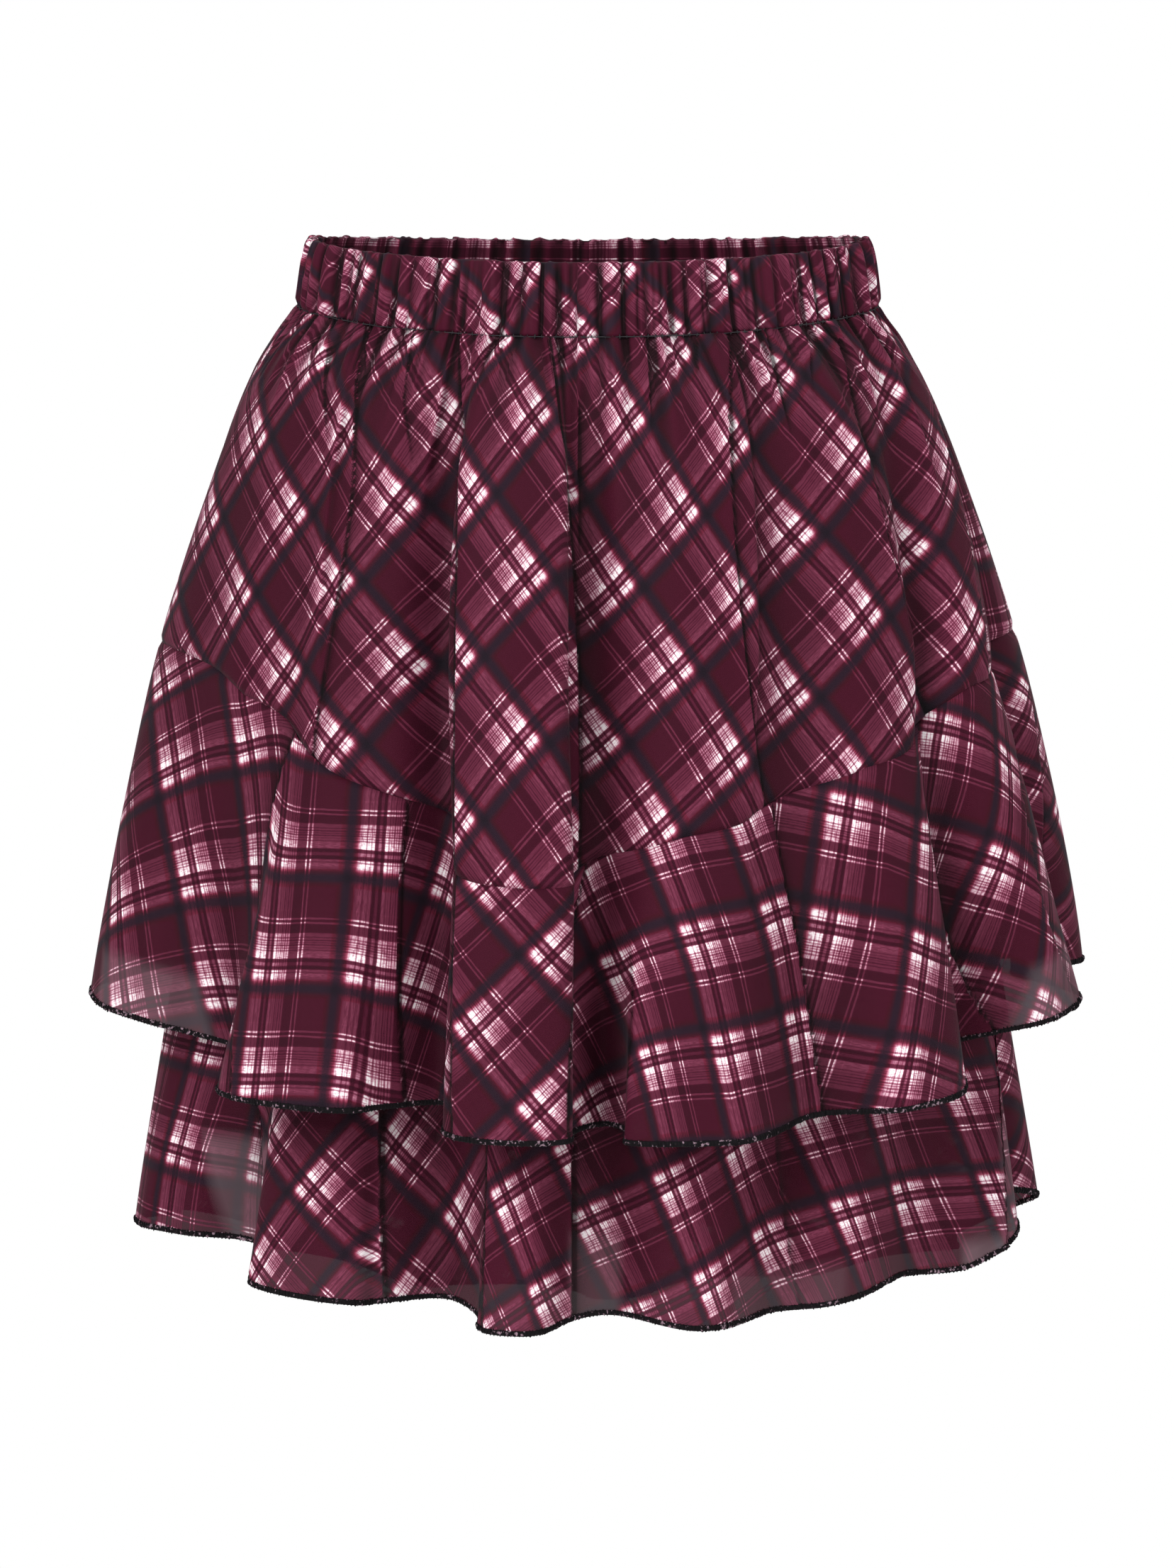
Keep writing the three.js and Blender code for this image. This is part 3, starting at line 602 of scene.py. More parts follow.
def lay_from_knots(rows, place, cells, flat):
    """The plaid, in repeats, laid as straight as it can be through the knots, then pulled to meet them."""
    at = knots_on_cloth(rows, place, cells)
    wanted = np.array([(i + KNOT_AT[0], j + KNOT_AT[1]) for _, _, i, j in rows])
    spots = flat[at]
    spread = np.concatenate([spots, np.ones((len(rows), 1))], 1)
    straight = np.linalg.lstsq(spread, wanted, rcond=None)[0]
    lay = flat @ straight[:2] + straight[2]
    misses = wanted - spread @ straight
    weights = [np.exp(-((flat - spot) ** 2).sum(-1) / (2 * KNOT_REACH ** 2)) for spot in spots]
    total = sum(weights) + 0.1
    return lay + sum(weight[..., None] * miss for weight, miss in zip(weights, misses)) / total[..., None]


def lay_plaid(name, place, across, down, flat_across, flat_down):
    """The plaid, in repeats, over a whole piece for each patch of its chart, and the patch of each cell."""
    chart = CHARTS[name]
    cell_across = (across[:-1, :-1] + across[1:, 1:]) / 2
    cell_shares = depth_shares(chart["depths"], (down[:-1, :-1] + down[1:, 1:]) / 2)
    patch = np.zeros(cell_across.shape, int)
    for edge in chart["edges"]:
        patch += cell_across >= sum(share * value for share, value in zip(cell_shares, edge))
    flat = np.stack([flat_across, flat_down], -1)
    lays = []
    for lay in chart["patches"]:
        if isinstance(lay, str):
            names = [other == lay for other in chart["patches"]]
            cells = np.pad(np.array(names)[patch], ((0, 1), (0, 1)), mode="edge")
            lays.append(lay_from_knots(KNOTS[lay], place, cells, flat))
        else:
            rows = np.array(lay)
            lays.append(flat @ rows[:, :2].T * MM + rows[:, 2])
    return np.array(lays), patch


# Crisp folds that don't part the plaid, made by a small lift of the cloth with painted shade and light: mm
# across at the chart's three depths, mm down at which the fold starts and ends, 1 or -1 for a lap as in the
# chart, and strength.
FOLD_LINES = {
    "front_panel": [
        ((-116, -130, -140), -9, 55, 1, 0.8), ((-74, -87, -95), -9, 60, 1, 0.7),
        ((25, 27, 30), -9, 45, 1, 0.7), ((-3.7, -3.7, -3.7), 24, 95, 1, 0.7),
        ((75, 100, 120), -9, 50, 1, 0.7), ((-97, -99, -99), -9, 30, -1, 0.6),
        ((45, 48, 50), -9, 28, -1, 0.5), ((95, 99, 103), -9, 34, 1, 0.5), ((-36, -37, -38), -9, 26, 1, 0.5),
    ],
    "front_upper": [((14, 17, 19), 38, 170, -1, 0.7)],
    "front_lower": [((78, 83, 91), 60, 190, 1, 0.5)],
}
# At a fold where cloth laps: depth and width, in mm, of the painted dark shade line, of the painted shade on
# the cloth below and of the painted light on the cloth above, and how wide the drop and the rise beside the
# line are.
SHADE_LINE = (2.2, 0.6)
SHADE_BELOW = (0.9, 4)
LIGHT_ABOVE = (-0.35, 4)
DROP_WIDTH, RISE_WIDTH = 3, 7
# Where one layer of cloth hangs with nothing behind it and is painted paler for the light coming through it:
# mm across, mm down, strength.
BACKLIT_SPOTS = {
    "front_upper": [(-256, -206, 126, 190, 0.6), (208, 250, 124, 190, 0.6)],
    "front_lower": [(-179, -147, 112, 240, 0.9), (170, 230, 156, 240, 0.9), (190, 214, 108, 240, 0.5),
                    (-8, 14, 140, 240, 0.5), (60, 110, 156, 240, 0.25)],
}


def backlit_places(name, across, down):
    thin = np.zeros_like(across)
    for left, right, top, bottom, strength in BACKLIT_SPOTS.get(name, []):
        beside = np.minimum(across - left, right - across) / 4
        below = np.minimum(down - top, bottom - down) / 6
        thin = np.maximum(thin, strength * np.clip(np.minimum(beside, below), 0, 1))
    return thin


def laps(name, across, down):
    """The lift of the cloth, in mm, and the painted shade and light at folds where cloth lies over the cloth
    beside it.
    """
    chart = CHARTS[name]
    shares = depth_shares(chart["depths"], down)
    lift, shade = np.zeros_like(across), np.zeros_like(across)
    lines = [(edge, -99, 999, over, 1.0) for edge, over in zip(chart["edges"], chart["laps"])]
    for edge, start, end, over, strength in lines + FOLD_LINES.get(name, []):
        past = (across - sum(share * value for share, value in zip(shares, edge))) * over
        strength = strength * np.clip((down - start) / 8, 0, 1) * np.clip((end - down) / 16, 0, 1)
        under, away = past > 0, np.abs(past)
        lift += strength * np.where(under, -np.exp(-away / DROP_WIDTH), np.exp(-away / RISE_WIDTH))
        line = SHADE_LINE[0] * np.exp(-((past / SHADE_LINE[1]) ** 2))
        below = SHADE_BELOW[0] * np.exp(-away / SHADE_BELOW[1])
        above = LIGHT_ABOVE[0] * np.exp(-away / LIGHT_ABOVE[1])
        shade += strength * (line + np.where(under, below, above))
    return lift, shade


def polar_flat(across, down, radius):
    """The flat place, on a circular-cut flounce, of a point at these cloth lengths."""
    reach = radius + down
    turn = across / reach
    return reach * np.sin(turn), reach * np.cos(turn) - radius


def turned_in(run, depth, width):
    """How far cloth is turned in beside a seam, in mm, at a run of so many mm from it."""
    return depth * np.exp(-(run / width) ** 2)


def panel(half):
    part = half + "_panel"
    columns, rows = PANEL_GRID[half]
    levels = np.concatenate([np.linspace(0, 0.3, rows // 2)[:-1], np.linspace(0.3, 1, rows // 2 + 1)])
    azimuths = even_azimuths(outer_point, 0.5, *HALF_ENDS[half], columns)
    azimuth, level = np.meshgrid(azimuths, levels)
    drop, place, pace, along, outward, outwards, sideways = ring_and_folds(OUTER_LAYER, azimuth, level)
    fade = np.clip(1 - level / PANEL_GATHER_FADE, 0, 1) ** 2
    fine = PANEL_GATHER * fade * gather_wave(azimuth) * (0.75 + 0.25 * np.sin(azimuth * 0.9 + 1.7))
    for creases in (PANEL_CREASES, small_gathers(7, 150, 0.30)):
        fine = fine + crease_shift(creases, azimuth, level, pace)
    across, down = laid_lengths(outer_point, OUTER_RING, azimuths, levels, HALF_MIDDLE[half])
    lift, shade = laps(part, across, down)
    fine = np.clip(fine + LAP_RISE * lift, *CREASE_LIMITS)
    tuck = turned_in(level * PANEL_TOP_RUN, *BAND_TUCK)
    tuck = tuck + turned_in((1 - level) * PANEL_FOOT_RUN, *FLOUNCE_TUCK)
    place = moved(place, along, outward, outwards + fine - tuck, sideways, drop)
    slip = 0.5 * fade * np.sin(azimuth * 1.9 + 2 * np.sin(azimuth * 0.37))
    slip = slip + 0.8 * hidden_cloth(azimuth) * np.exp(-down / VALLEY_FADE)
    full_across = across * (1 + SEAM_FULLNESS * np.exp(-down / FULLNESS_FADE)) + slip
    lays, patch = lay_plaid(part, place, across, down, full_across, down)
    # painted shade from the hollows of folds and creases, with the painted shade and light of the laps
    hollow = hollows(outwards * FOLD_SHARE + fine * (1 + 1.3 * fade), azimuths, outer_point, 0.4) + shade
    # painted shade just below the band
    hollow += 0.8 * np.exp(-down / 3)
    return cloth_shell(half + "_top_panel", place, SHELL_INSET, lays, patch, hollow,
                       backlit_places(part, across, down))


def flounce(part, layer, surface, inset, cut_radius, seed):
    """A flounce and the line of its hem."""
    half = part.split("_")[0]
    columns, rows = FLOUNCE_GRID[half]
    levels = np.linspace(1, 2, rows)
    azimuths = even_azimuths(surface, 1.8, *HALF_ENDS[half], columns)
    azimuth, level = np.meshgrid(azimuths, levels)
    drop, place, _, along, outward, outwards, sideways = ring_and_folds(layer, azimuth, level)
    # small ripples of the circular cut, strongest at the hem
    rng = np.random.default_rng(seed)
    ripple = sum(rng.uniform(0.5, 1) * np.sin(azimuth * DEGREE * count + rng.uniform(0, 6.3))
                 for count in (19, 26, 37, 48))
    across, down = laid_lengths(surface, layer[0], azimuths, levels, HALF_MIDDLE[half])
    lift, shade = laps(part, across, down)
    fine = 0.55 * (level - 1) ** 2 * ripple + LAP_RISE * lift
    tuck = turned_in((level - 1) * FLOUNCE_RUN, *FLOUNCE_TUCK)
    place = moved(place, along, outward, outwards + fine - tuck, sideways, drop)
    lays, patch = lay_plaid(part, place, across, down, *polar_flat(across, down, cut_radius))
    # painted shade from the flounce's hollows and laps
    hollow = hollows(outwards * FOLD_SHARE + fine, azimuths, surface, 1.8) + shade
    if layer is INNER_LAYER:
        # painted shadow of the upper flounce's hem on the cloth right below it
        hollow += 1.3 * np.exp(-np.maximum(drop - line_drop("outer_hem", azimuth), 0) / 8)
    piece = cloth_shell(part + "_ruffle", place, inset, lays, patch, hollow, backlit_places(part, across, down))
    return piece, place[-1] - outward_normals(place)[-1] * (inset + CLOTH / 2)


def underskirt(half):
    columns, rows = LINING_GRID
    levels = np.linspace(0, 1, rows)
    azimuths = even_azimuths(inner_point, 0.6, *HALF_ENDS[half], columns)
    place = inner_point(*np.meshgrid(azimuths, levels))
    across, down = cloth_lengths(inner_point, azimuths, levels, HALF_MIDDLE[half])
    lays = np.stack([across, down], -1)[None]
    plain = np.zeros_like(across)
    return cloth_shell(half + "_lining", place, LINING_INSET, lays, plain[1:, 1:].astype(int), plain, plain)


# The band's rows up the outside, over the top and down the inside. In mm: the half width and rise of its top,
# how much the gathers widen it, and the cloth's length over it.
BAND_ROWS = (22, 7, 14)
BAND_TOP, BAND_TOP_RISE, BAND_TOP_GATHER, BAND_TOP_RUN = 1.4, 0.9, 0.5, 4.4
# How strongly the painted shade of hollows shows on the band, and the painted shade added inside it.
BAND_HOLLOW, INSIDE_SHADE = 1.6, 1.0


def waistband(half):
    """Gathered cloth over elastic: up the outside, over the top and down the inside."""
    azimuths = even_azimuths(band_point, 0.5, *HALF_ENDS[half], BAND_COLUMNS[half])
    up, inside = np.linspace(1, 0, BAND_ROWS[0]), np.linspace(0, 1, BAND_ROWS[2])
    turns = np.linspace(0, math.pi, BAND_ROWS[1])[1:-1]
    rows, lengths, hollow = [], [], []
    wave = gather_wave(azimuths)
    wobble = 0.8 + 0.35 * np.sin(azimuths * 0.7 + 0.4) + 0.25 * np.sin(azimuths * 1.63 + 2)
    height = line_drop("band_seam", azimuths) - line_drop("top", azimuths)
    # the pleats run over the whole band and are a little stronger than on the panel
    pleats = [(top_at, low_at, 1, span, rise * 1.2, lap)
              for top_at, low_at, _, span, rise, lap in small_gathers(23, 190, 1.0)]
    _, pace, _, _ = ring_point(OUTER_RING, azimuths, np.full_like(azimuths, 15.0))
    ends = 1 - np.exp(-((90 - np.abs(wrap(azimuths - HALF_MIDDLE[half]))) / 1.5) ** 2)
    for level in up:
        lean = azimuths + 0.9 * np.sin(azimuths * 0.33) * (level - 0.5)
        edge = 1 - 0.45 * (2 * level - 1) ** 6
        crease = crease_shift(pleats, azimuths, np.full_like(azimuths, 0.0 if level > 0.5 else 0.15), pace)
        gather = (BAND_GATHER * gather_wave(lean) * wobble + crease) * edge
        tuck = turned_in((1 - level) * BAND_RUN, *BAND_TUCK)
        row = band_point(azimuths, np.full_like(azimuths, level), np.clip(gather, -1.9, 2.4) * ends - tuck)
        row[:, 2] += 0.35 * np.clip(gather, -1.5, 1.5) * math.exp(-level * 12)
        rows.append(row)
        lengths.append(height * level)
        hollow.append(gather - tuck)
    top, top_hollow = rows[-1], hollow[-1]
    normal = outward_normals(np.stack([top, top + (0, 0, -1)]))[0]
    half_width = BAND_TOP + BAND_TOP_GATHER * wave[:, None]
    for turn in turns:
        rise = np.array([0, 0, BAND_TOP_RISE * math.sin(turn)])
        rows.append(top + normal * half_width * (math.cos(turn) - 1) + rise)
        lengths.append(np.full_like(height, -BAND_TOP * turn))
        hollow.append(top_hollow * math.cos(turn / 2))
    for level in inside:
        gather = 0.9 * wave * wobble * (1 - 0.5 * (2 * level - 1) ** 6)
        rows.append(band_point(azimuths, np.full_like(azimuths, level), gather - 0.3 - BAND_THICKNESS))
        lengths.append(-BAND_TOP_RUN - height * level)
        hollow.append(-gather)
    place, lengths = np.stack(rows), np.stack(lengths)
    ends_across, _ = laid_lengths(band_point, OUTER_RING, azimuths, np.array([0.0, 1.0]), HALF_MIDDLE[half])
    share = np.clip(lengths / height, 0, 1)
    across = mix(ends_across[0], ends_across[1], share)
    slip = 0.6 * np.sin(azimuths * 1.7 + 2 * np.sin(azimuths * 0.41)) * np.sin(math.pi * share)
    slip = slip + hidden_cloth(azimuths)
    lays, _ = lay_plaid(half + "_band", place, across, lengths, across * BAND_FULLNESS + slip, lengths)
    at = np.arange(lengths.size).reshape(lengths.shape)
    loop = np.concatenate([at, at[:1]])
    quads = np.stack([loop[:-1, :-1], loop[:-1, 1:], loop[1:, 1:], loop[1:, :-1]], -1).reshape(-1, 4)
    # painted shade from the band's gathers
    depth = BAND_HOLLOW * hollows(np.stack(hollow), azimuths, band_point, 0.5)
    # painted shade inside the band
    depth[len(up) + 2:] += INSIDE_SHADE
    corner_uv = lays[0].reshape(-1, 2)[quads]
    piece = make_mesh(half + "_band", place.reshape(-1, 3), quads, corner_uv, {"hollow": depth})
    close_and_turn_out(piece)
    return piece


def linear(code):
    """A colour written as hex, as linear light."""
    channels = [int(code[i:i + 2], 16) / 255 for i in (0, 2, 4)]
    return tuple(c / 12.92 if c <= 0.04045 else ((c + 0.055) / 1.055) ** 2.4 for c in channels) + (1,)


def new_material(name):
    material = bpy.data.materials.new(name)
    material.use_nodes = True
    material.node_tree.nodes.clear()
    return material, material.node_tree


def node(tree, kind, inputs=None, **settings):
    made = tree.nodes.new(kind)
    for key, value in settings.items():
        setattr(made, key, value)
    for key, value in (inputs or {}).items():
        if isinstance(value, bpy.types.NodeSocket):
            tree.links.new(value, made.inputs[key])
        else:
            made.inputs[key].default_value = value
    return made


def maths(tree, operation, *values, clamp=False):
    inputs = dict(enumerate(values))
    return node(tree, "ShaderNodeMath", inputs, operation=operation, use_clamp=clamp).outputs[0]


def blend(tree, share, first, second, kind="MIX"):
    """Two colours mixed by share, or the first multiplied by the second to that share."""
    inputs = {0: share, 6: first, 7: second}
    return node(tree, "ShaderNodeMix", inputs, data_type="RGBA", blend_type=kind).outputs[2]


def shaded(tree, colour, factor):
    grey = node(tree, "ShaderNodeCombineColor", {0: factor, 1: factor, 2: factor}).outputs[0]
    return blend(tree, 1.0, colour, grey, "MULTIPLY")


def noise(tree, place, scale, detail, roughness=0.5):
    inputs = {"Vector": place, "Scale": scale, "Detail": detail, "Roughness": roughness}
    return node(tree, "ShaderNodeTexNoise", inputs).outputs[0]


def mark(tree, name):
    return node(tree, "ShaderNodeAttribute", attribute_name=name).outputs["Fac"]


def ramp(tree, stops, fac):
    made = node(tree, "ShaderNodeValToRGB", {0: fac})
    elements = made.color_ramp.elements
    while len(elements) > 1:
        elements.remove(elements[-1])
    elements[0].position, elements[0].color = stops[0]
    for place, colour in stops[1:]:
        elements.new(place).color = colour
    return made.outputs[0]


# The plaid's stripes: place in the repeat of the long and of the short thread, lightness from -0.5 to 1.5,
# and charcoal share.
LONG, SHORT = 0, 1
SETT = [
    (0.000, 0.000, 0.10, 1.00), (0.022, 0.022, 0.10, 0.97), (0.055, 0.052, 0.30, 0.50),
    (0.085, 0.080, 0.80, 0), (0.112, 0.108, 1.10, 0), (0.165, 0.212, 1.05, 0), (0.177, 0.224, -0.30, 0),
    (0.200, 0.243, -0.30, 0), (0.210, 0.253, 0.50, 0), (0.232, 0.272, 0.50, 0), (0.242, 0.281, -0.30, 0),
    (0.263, 0.299, -0.30, 0), (0.275, 0.311, 1.12, 0), (0.330, 0.355, 1.05, 0), (0.420, 0.420, 0.85, 0),
    (0.492, 0.475, 0.80, 0), (0.505, 0.488, -0.20, 0), (0.575, 0.579, -0.20, 0), (0.583, 0.587, 0.95, 0),
    (0.593, 0.597, 0.95, 0), (0.600, 0.604, -0.10, 0), (0.616, 0.622, -0.10, 0), (0.623, 0.629, 0.90, 0),
    (0.632, 0.639, 0.90, 0), (0.640, 0.647, 0.00, 0), (0.910, 0.910, 0.00, 0), (0.945, 0.945, 0.05, 0.40),
    (0.978, 0.978, 0.10, 0.97), (1.000, 1.000, 0.10, 1.00),
]
# Fine crimson threads across the light stripes: place in the repeat, half width and depth.
FINE_THREADS = [
    (0.145, 0.010, 0.55), (0.188, 0.008, 0.40), (0.342, 0.010, 0.60), (0.366, 0.008, 0.45),
    (0.390, 0.010, 0.70), (0.410, 0.008, 0.45), (0.432, 0.010, 0.65), (0.458, 0.009, 0.55),
    (0.710, 0.008, -0.10),
]


# Streaks for each repeat across and along a stripe, how far a stripe's edges waver, in repeats, and how much
# of its light the gaps between streaks take away.
STREAKS_ACROSS, STREAKS_ALONG = 26.0, 3.0
EDGE_WAVER = 0.014
STREAK_GAP, STREAK_DEPTH = 1.6, 0.75


def stripes(tree, thread, cross, way, seed):
    """Lightness and charcoal share of one set of stripes, with brushed edges and fine streaks along them."""
    streaks = node(tree, "ShaderNodeCombineXYZ", {
        0: maths(tree, "MULTIPLY", thread, STREAKS_ACROSS),
        1: maths(tree, "MULTIPLY", cross, STREAKS_ALONG), 2: seed}).outputs[0]
    brushed = maths(tree, "SUBTRACT", noise(tree, streaks, 2.0, 3.0, 0.6), 0.5)
    place = maths(tree, "ADD", thread, maths(tree, "MULTIPLY", brushed, EDGE_WAVER))
    place = maths(tree, "FRACT", place)
    stops = [(row[way], ((row[2] + 0.5) / 2, row[3], 0, 1)) for row in SETT]
    tone = node(tree, "ShaderNodeSeparateColor", {0: ramp(tree, stops, place)}).outputs
    light = maths(tree, "MULTIPLY_ADD", tone[0], 2.0, -0.5)
    stops = [(at + side * width, ((depth * (1 - abs(side)) / 2 + 0.5,) * 3) + (1,))
             for at, width, depth in FINE_THREADS for side in (-1, 0, 1)]
    fine = ramp(tree, [(0.0, (0.5, 0.5, 0.5, 1))] + stops, place)
    light = maths(tree, "SUBTRACT", light, maths(tree, "MULTIPLY_ADD", fine, 2.0, -1.0))
    cut = maths(tree, "SUBTRACT", noise(tree, streaks, 5.5, 1.0), 0.47, clamp=True)
    cut = maths(tree, "MULTIPLY", maths(tree, "MULTIPLY", cut, STREAK_GAP),
                maths(tree, "MULTIPLY", light, STREAK_DEPTH))
    return maths(tree, "SUBTRACT", light, cut), tone[1]


# How much darker the painted shade makes the cloth for each mm of hollow, and its darkest and lightest shade.
HOLLOW_SHADE = 0.34
DARKEST, LIGHTEST = 0.16, 1.15
# How far charcoal, its crossings and the painted paleness of light through single layers cover the colour
# below them.
CHARCOAL_COVER, CROSSING_COVER, BACKLIGHT_COVER = 0.88, 0.6, 0.22
# The share of light that comes through the cloth from behind.
GLOW = 0.15


def plaid_cloth(name, see_through):
    material, tree = new_material(name)
    cloth = node(tree, "ShaderNodeUVMap", uv_map="cloth").outputs[0]
    along = node(tree, "ShaderNodeSeparateXYZ", {0: cloth}).outputs
    long_light, long_dark = stripes(tree, along[0], along[1], LONG, 1.3)
    short_light, short_dark = stripes(tree, along[1], along[0], SHORT, 7.9)
    light = maths(tree, "MULTIPLY_ADD", maths(tree, "ADD", long_light, short_light), 0.4, 0.15)
    colour = ramp(tree, [(0.0, linear("34081a")), (0.15, linear("3f081e")), (0.30, linear("4a1228")),
                         (0.55, linear("65283d")), (0.68, linear("8f4660")), (0.80, linear("b57d90")),
                         (0.89, linear("dfbcc7")), (0.96, linear("fcf4f6"))], light)
    # crimson where a light stripe fades into charcoal, then the charcoal, darkest where two stripes cross
    charcoal = maths(tree, "MAXIMUM", long_dark, short_dark)
    fade = ramp(tree, [(0.0, (0, 0, 0, 1)), (0.12, (0.8, 0.8, 0.8, 1)), (0.6, (1, 1, 1, 1))], charcoal)
    colour = blend(tree, fade, colour, (1.0, 0.42, 0.56, 1), "MULTIPLY")
    colour = blend(tree, maths(tree, "MULTIPLY", charcoal, CHARCOAL_COVER), colour, linear("1e1522"))
    crossing = maths(tree, "MULTIPLY", maths(tree, "MULTIPLY", long_dark, short_dark), CROSSING_COVER)
    colour = blend(tree, crossing, colour, linear("100e16"))
    # crepe grain: fine specks in the colour and a bump of the twisted threads
    crepe = node(tree, "ShaderNodeVectorMath", {0: cloth, 1: (1.0, 0.85, 1.0)}, operation="MULTIPLY")
    grain = noise(tree, crepe.outputs[0], 130.0, 2.0, 0.7)
    colour = shaded(tree, colour, maths(tree, "MULTIPLY_ADD", grain, 0.3, 0.85))
    # painted paleness where light comes through a single layer
    colour = blend(tree, maths(tree, "MULTIPLY", mark(tree, "thin"), BACKLIGHT_COVER), colour, linear("ad9ba2"))
    # painted shade and light from creases, laps and hems darken or lighten the colour
    shade = maths(tree, "MULTIPLY_ADD", mark(tree, "hollow"), -HOLLOW_SHADE, 1.0)
    shade = maths(tree, "MINIMUM", maths(tree, "MAXIMUM", shade, DARKEST), LIGHTEST)
    colour = shaded(tree, colour, shade)
    bump = node(tree, "ShaderNodeBump", {"Strength": 0.12, "Distance": 0.0003, "Height": grain}).outputs[0]
    cover = node(tree, "ShaderNodeBsdfPrincipled", {
        "Base Color": colour, "Roughness": 0.72, "Specular IOR Level": 0.12, "Sheen Weight": 0.03,
        "Sheen Roughness": 0.5, "Normal": bump}).outputs[0]
    glow = node(tree, "ShaderNodeBsdfTranslucent", {0: colour, 1: bump}).outputs[0]
    body = node(tree, "ShaderNodeMixShader", {0: GLOW, 1: cover, 2: glow}).outputs[0]
    if see_through:
        clear = node(tree, "ShaderNodeBsdfTransparent").outputs[0]
        share = maths(tree, "MULTIPLY_ADD", light, -see_through * 0.8, see_through, clamp=True)
        body = node(tree, "ShaderNodeMixShader", {0: share, 1: body, 2: clear}).outputs[0]
    node(tree, "ShaderNodeOutputMaterial", {0: body})
    return material


def lining_cloth():
    material, tree = new_material("wine_lining")
    cloth = node(tree, "ShaderNodeUVMap", uv_map="cloth").outputs[0]
    weave = node(tree, "ShaderNodeTexWave", {"Vector": cloth, "Scale": 1.2, "Distortion": 0.6},
                 wave_type="BANDS", bands_direction="DIAGONAL")
    colour = blend(tree, noise(tree, cloth, 0.05, 3.0), linear("2c0c18"), linear("431524"))
    bump = node(tree, "ShaderNodeBump", {"Strength": 0.15, "Distance": 0.0002, "Height": weave.outputs[0]})
    cover = node(tree, "ShaderNodeBsdfPrincipled", {
        "Base Color": colour, "Roughness": 0.45, "Sheen Weight": 0.1, "Normal": bump.outputs[0]})
    node(tree, "ShaderNodeOutputMaterial", {0: cover.outputs[0]})
    return material


def edging_thread():
    """Black overlock thread with small pale flecks."""
    material, tree = new_material("overlock_thread")
    place = node(tree, "ShaderNodeTexCoord").outputs["Object"]
    patch = maths(tree, "MULTIPLY_ADD", noise(tree, place, 90.0, 1.0), 0.8, 0.6)
    both = maths(tree, "MULTIPLY", noise(tree, place, 700.0, 1.0), patch)
    colour = ramp(tree, [(0.0, linear("050305")), (0.62, linear("0b070b")), (0.74, linear("8c7480"))], both)
    cover = node(tree, "ShaderNodeBsdfPrincipled", {
        "Base Color": colour, "Roughness": 0.8, "Specular IOR Level": 0.15})
    node(tree, "ShaderNodeOutputMaterial", {0: cover.outputs[0]})
    return material


def plain_finish(name, code, roughness):
    material, tree = new_material(name)
    cover = node(tree, "ShaderNodeBsdfPrincipled", {"Base Color": linear(code), "Roughness": roughness})
    node(tree, "ShaderNodeOutputMaterial", {0: cover.outputs[0]})
    return material


CHIFFON = plaid_cloth("plaid_chiffon", 0.15)
BAND_CLOTH = plaid_cloth("plaid_band", 0)
LINING = lining_cloth()
THREAD = edging_thread()
STITCH = plain_finish("dark_stitch", "120c14", 0.6)


def group_input(group, name, kind, value):
    """A named input of a node group with its starting value, and its identifier."""
    socket = group.interface.new_socket(name, in_out="INPUT", socket_type=kind)
    if value is not None:
        socket.default_value = value
    return socket.identifier


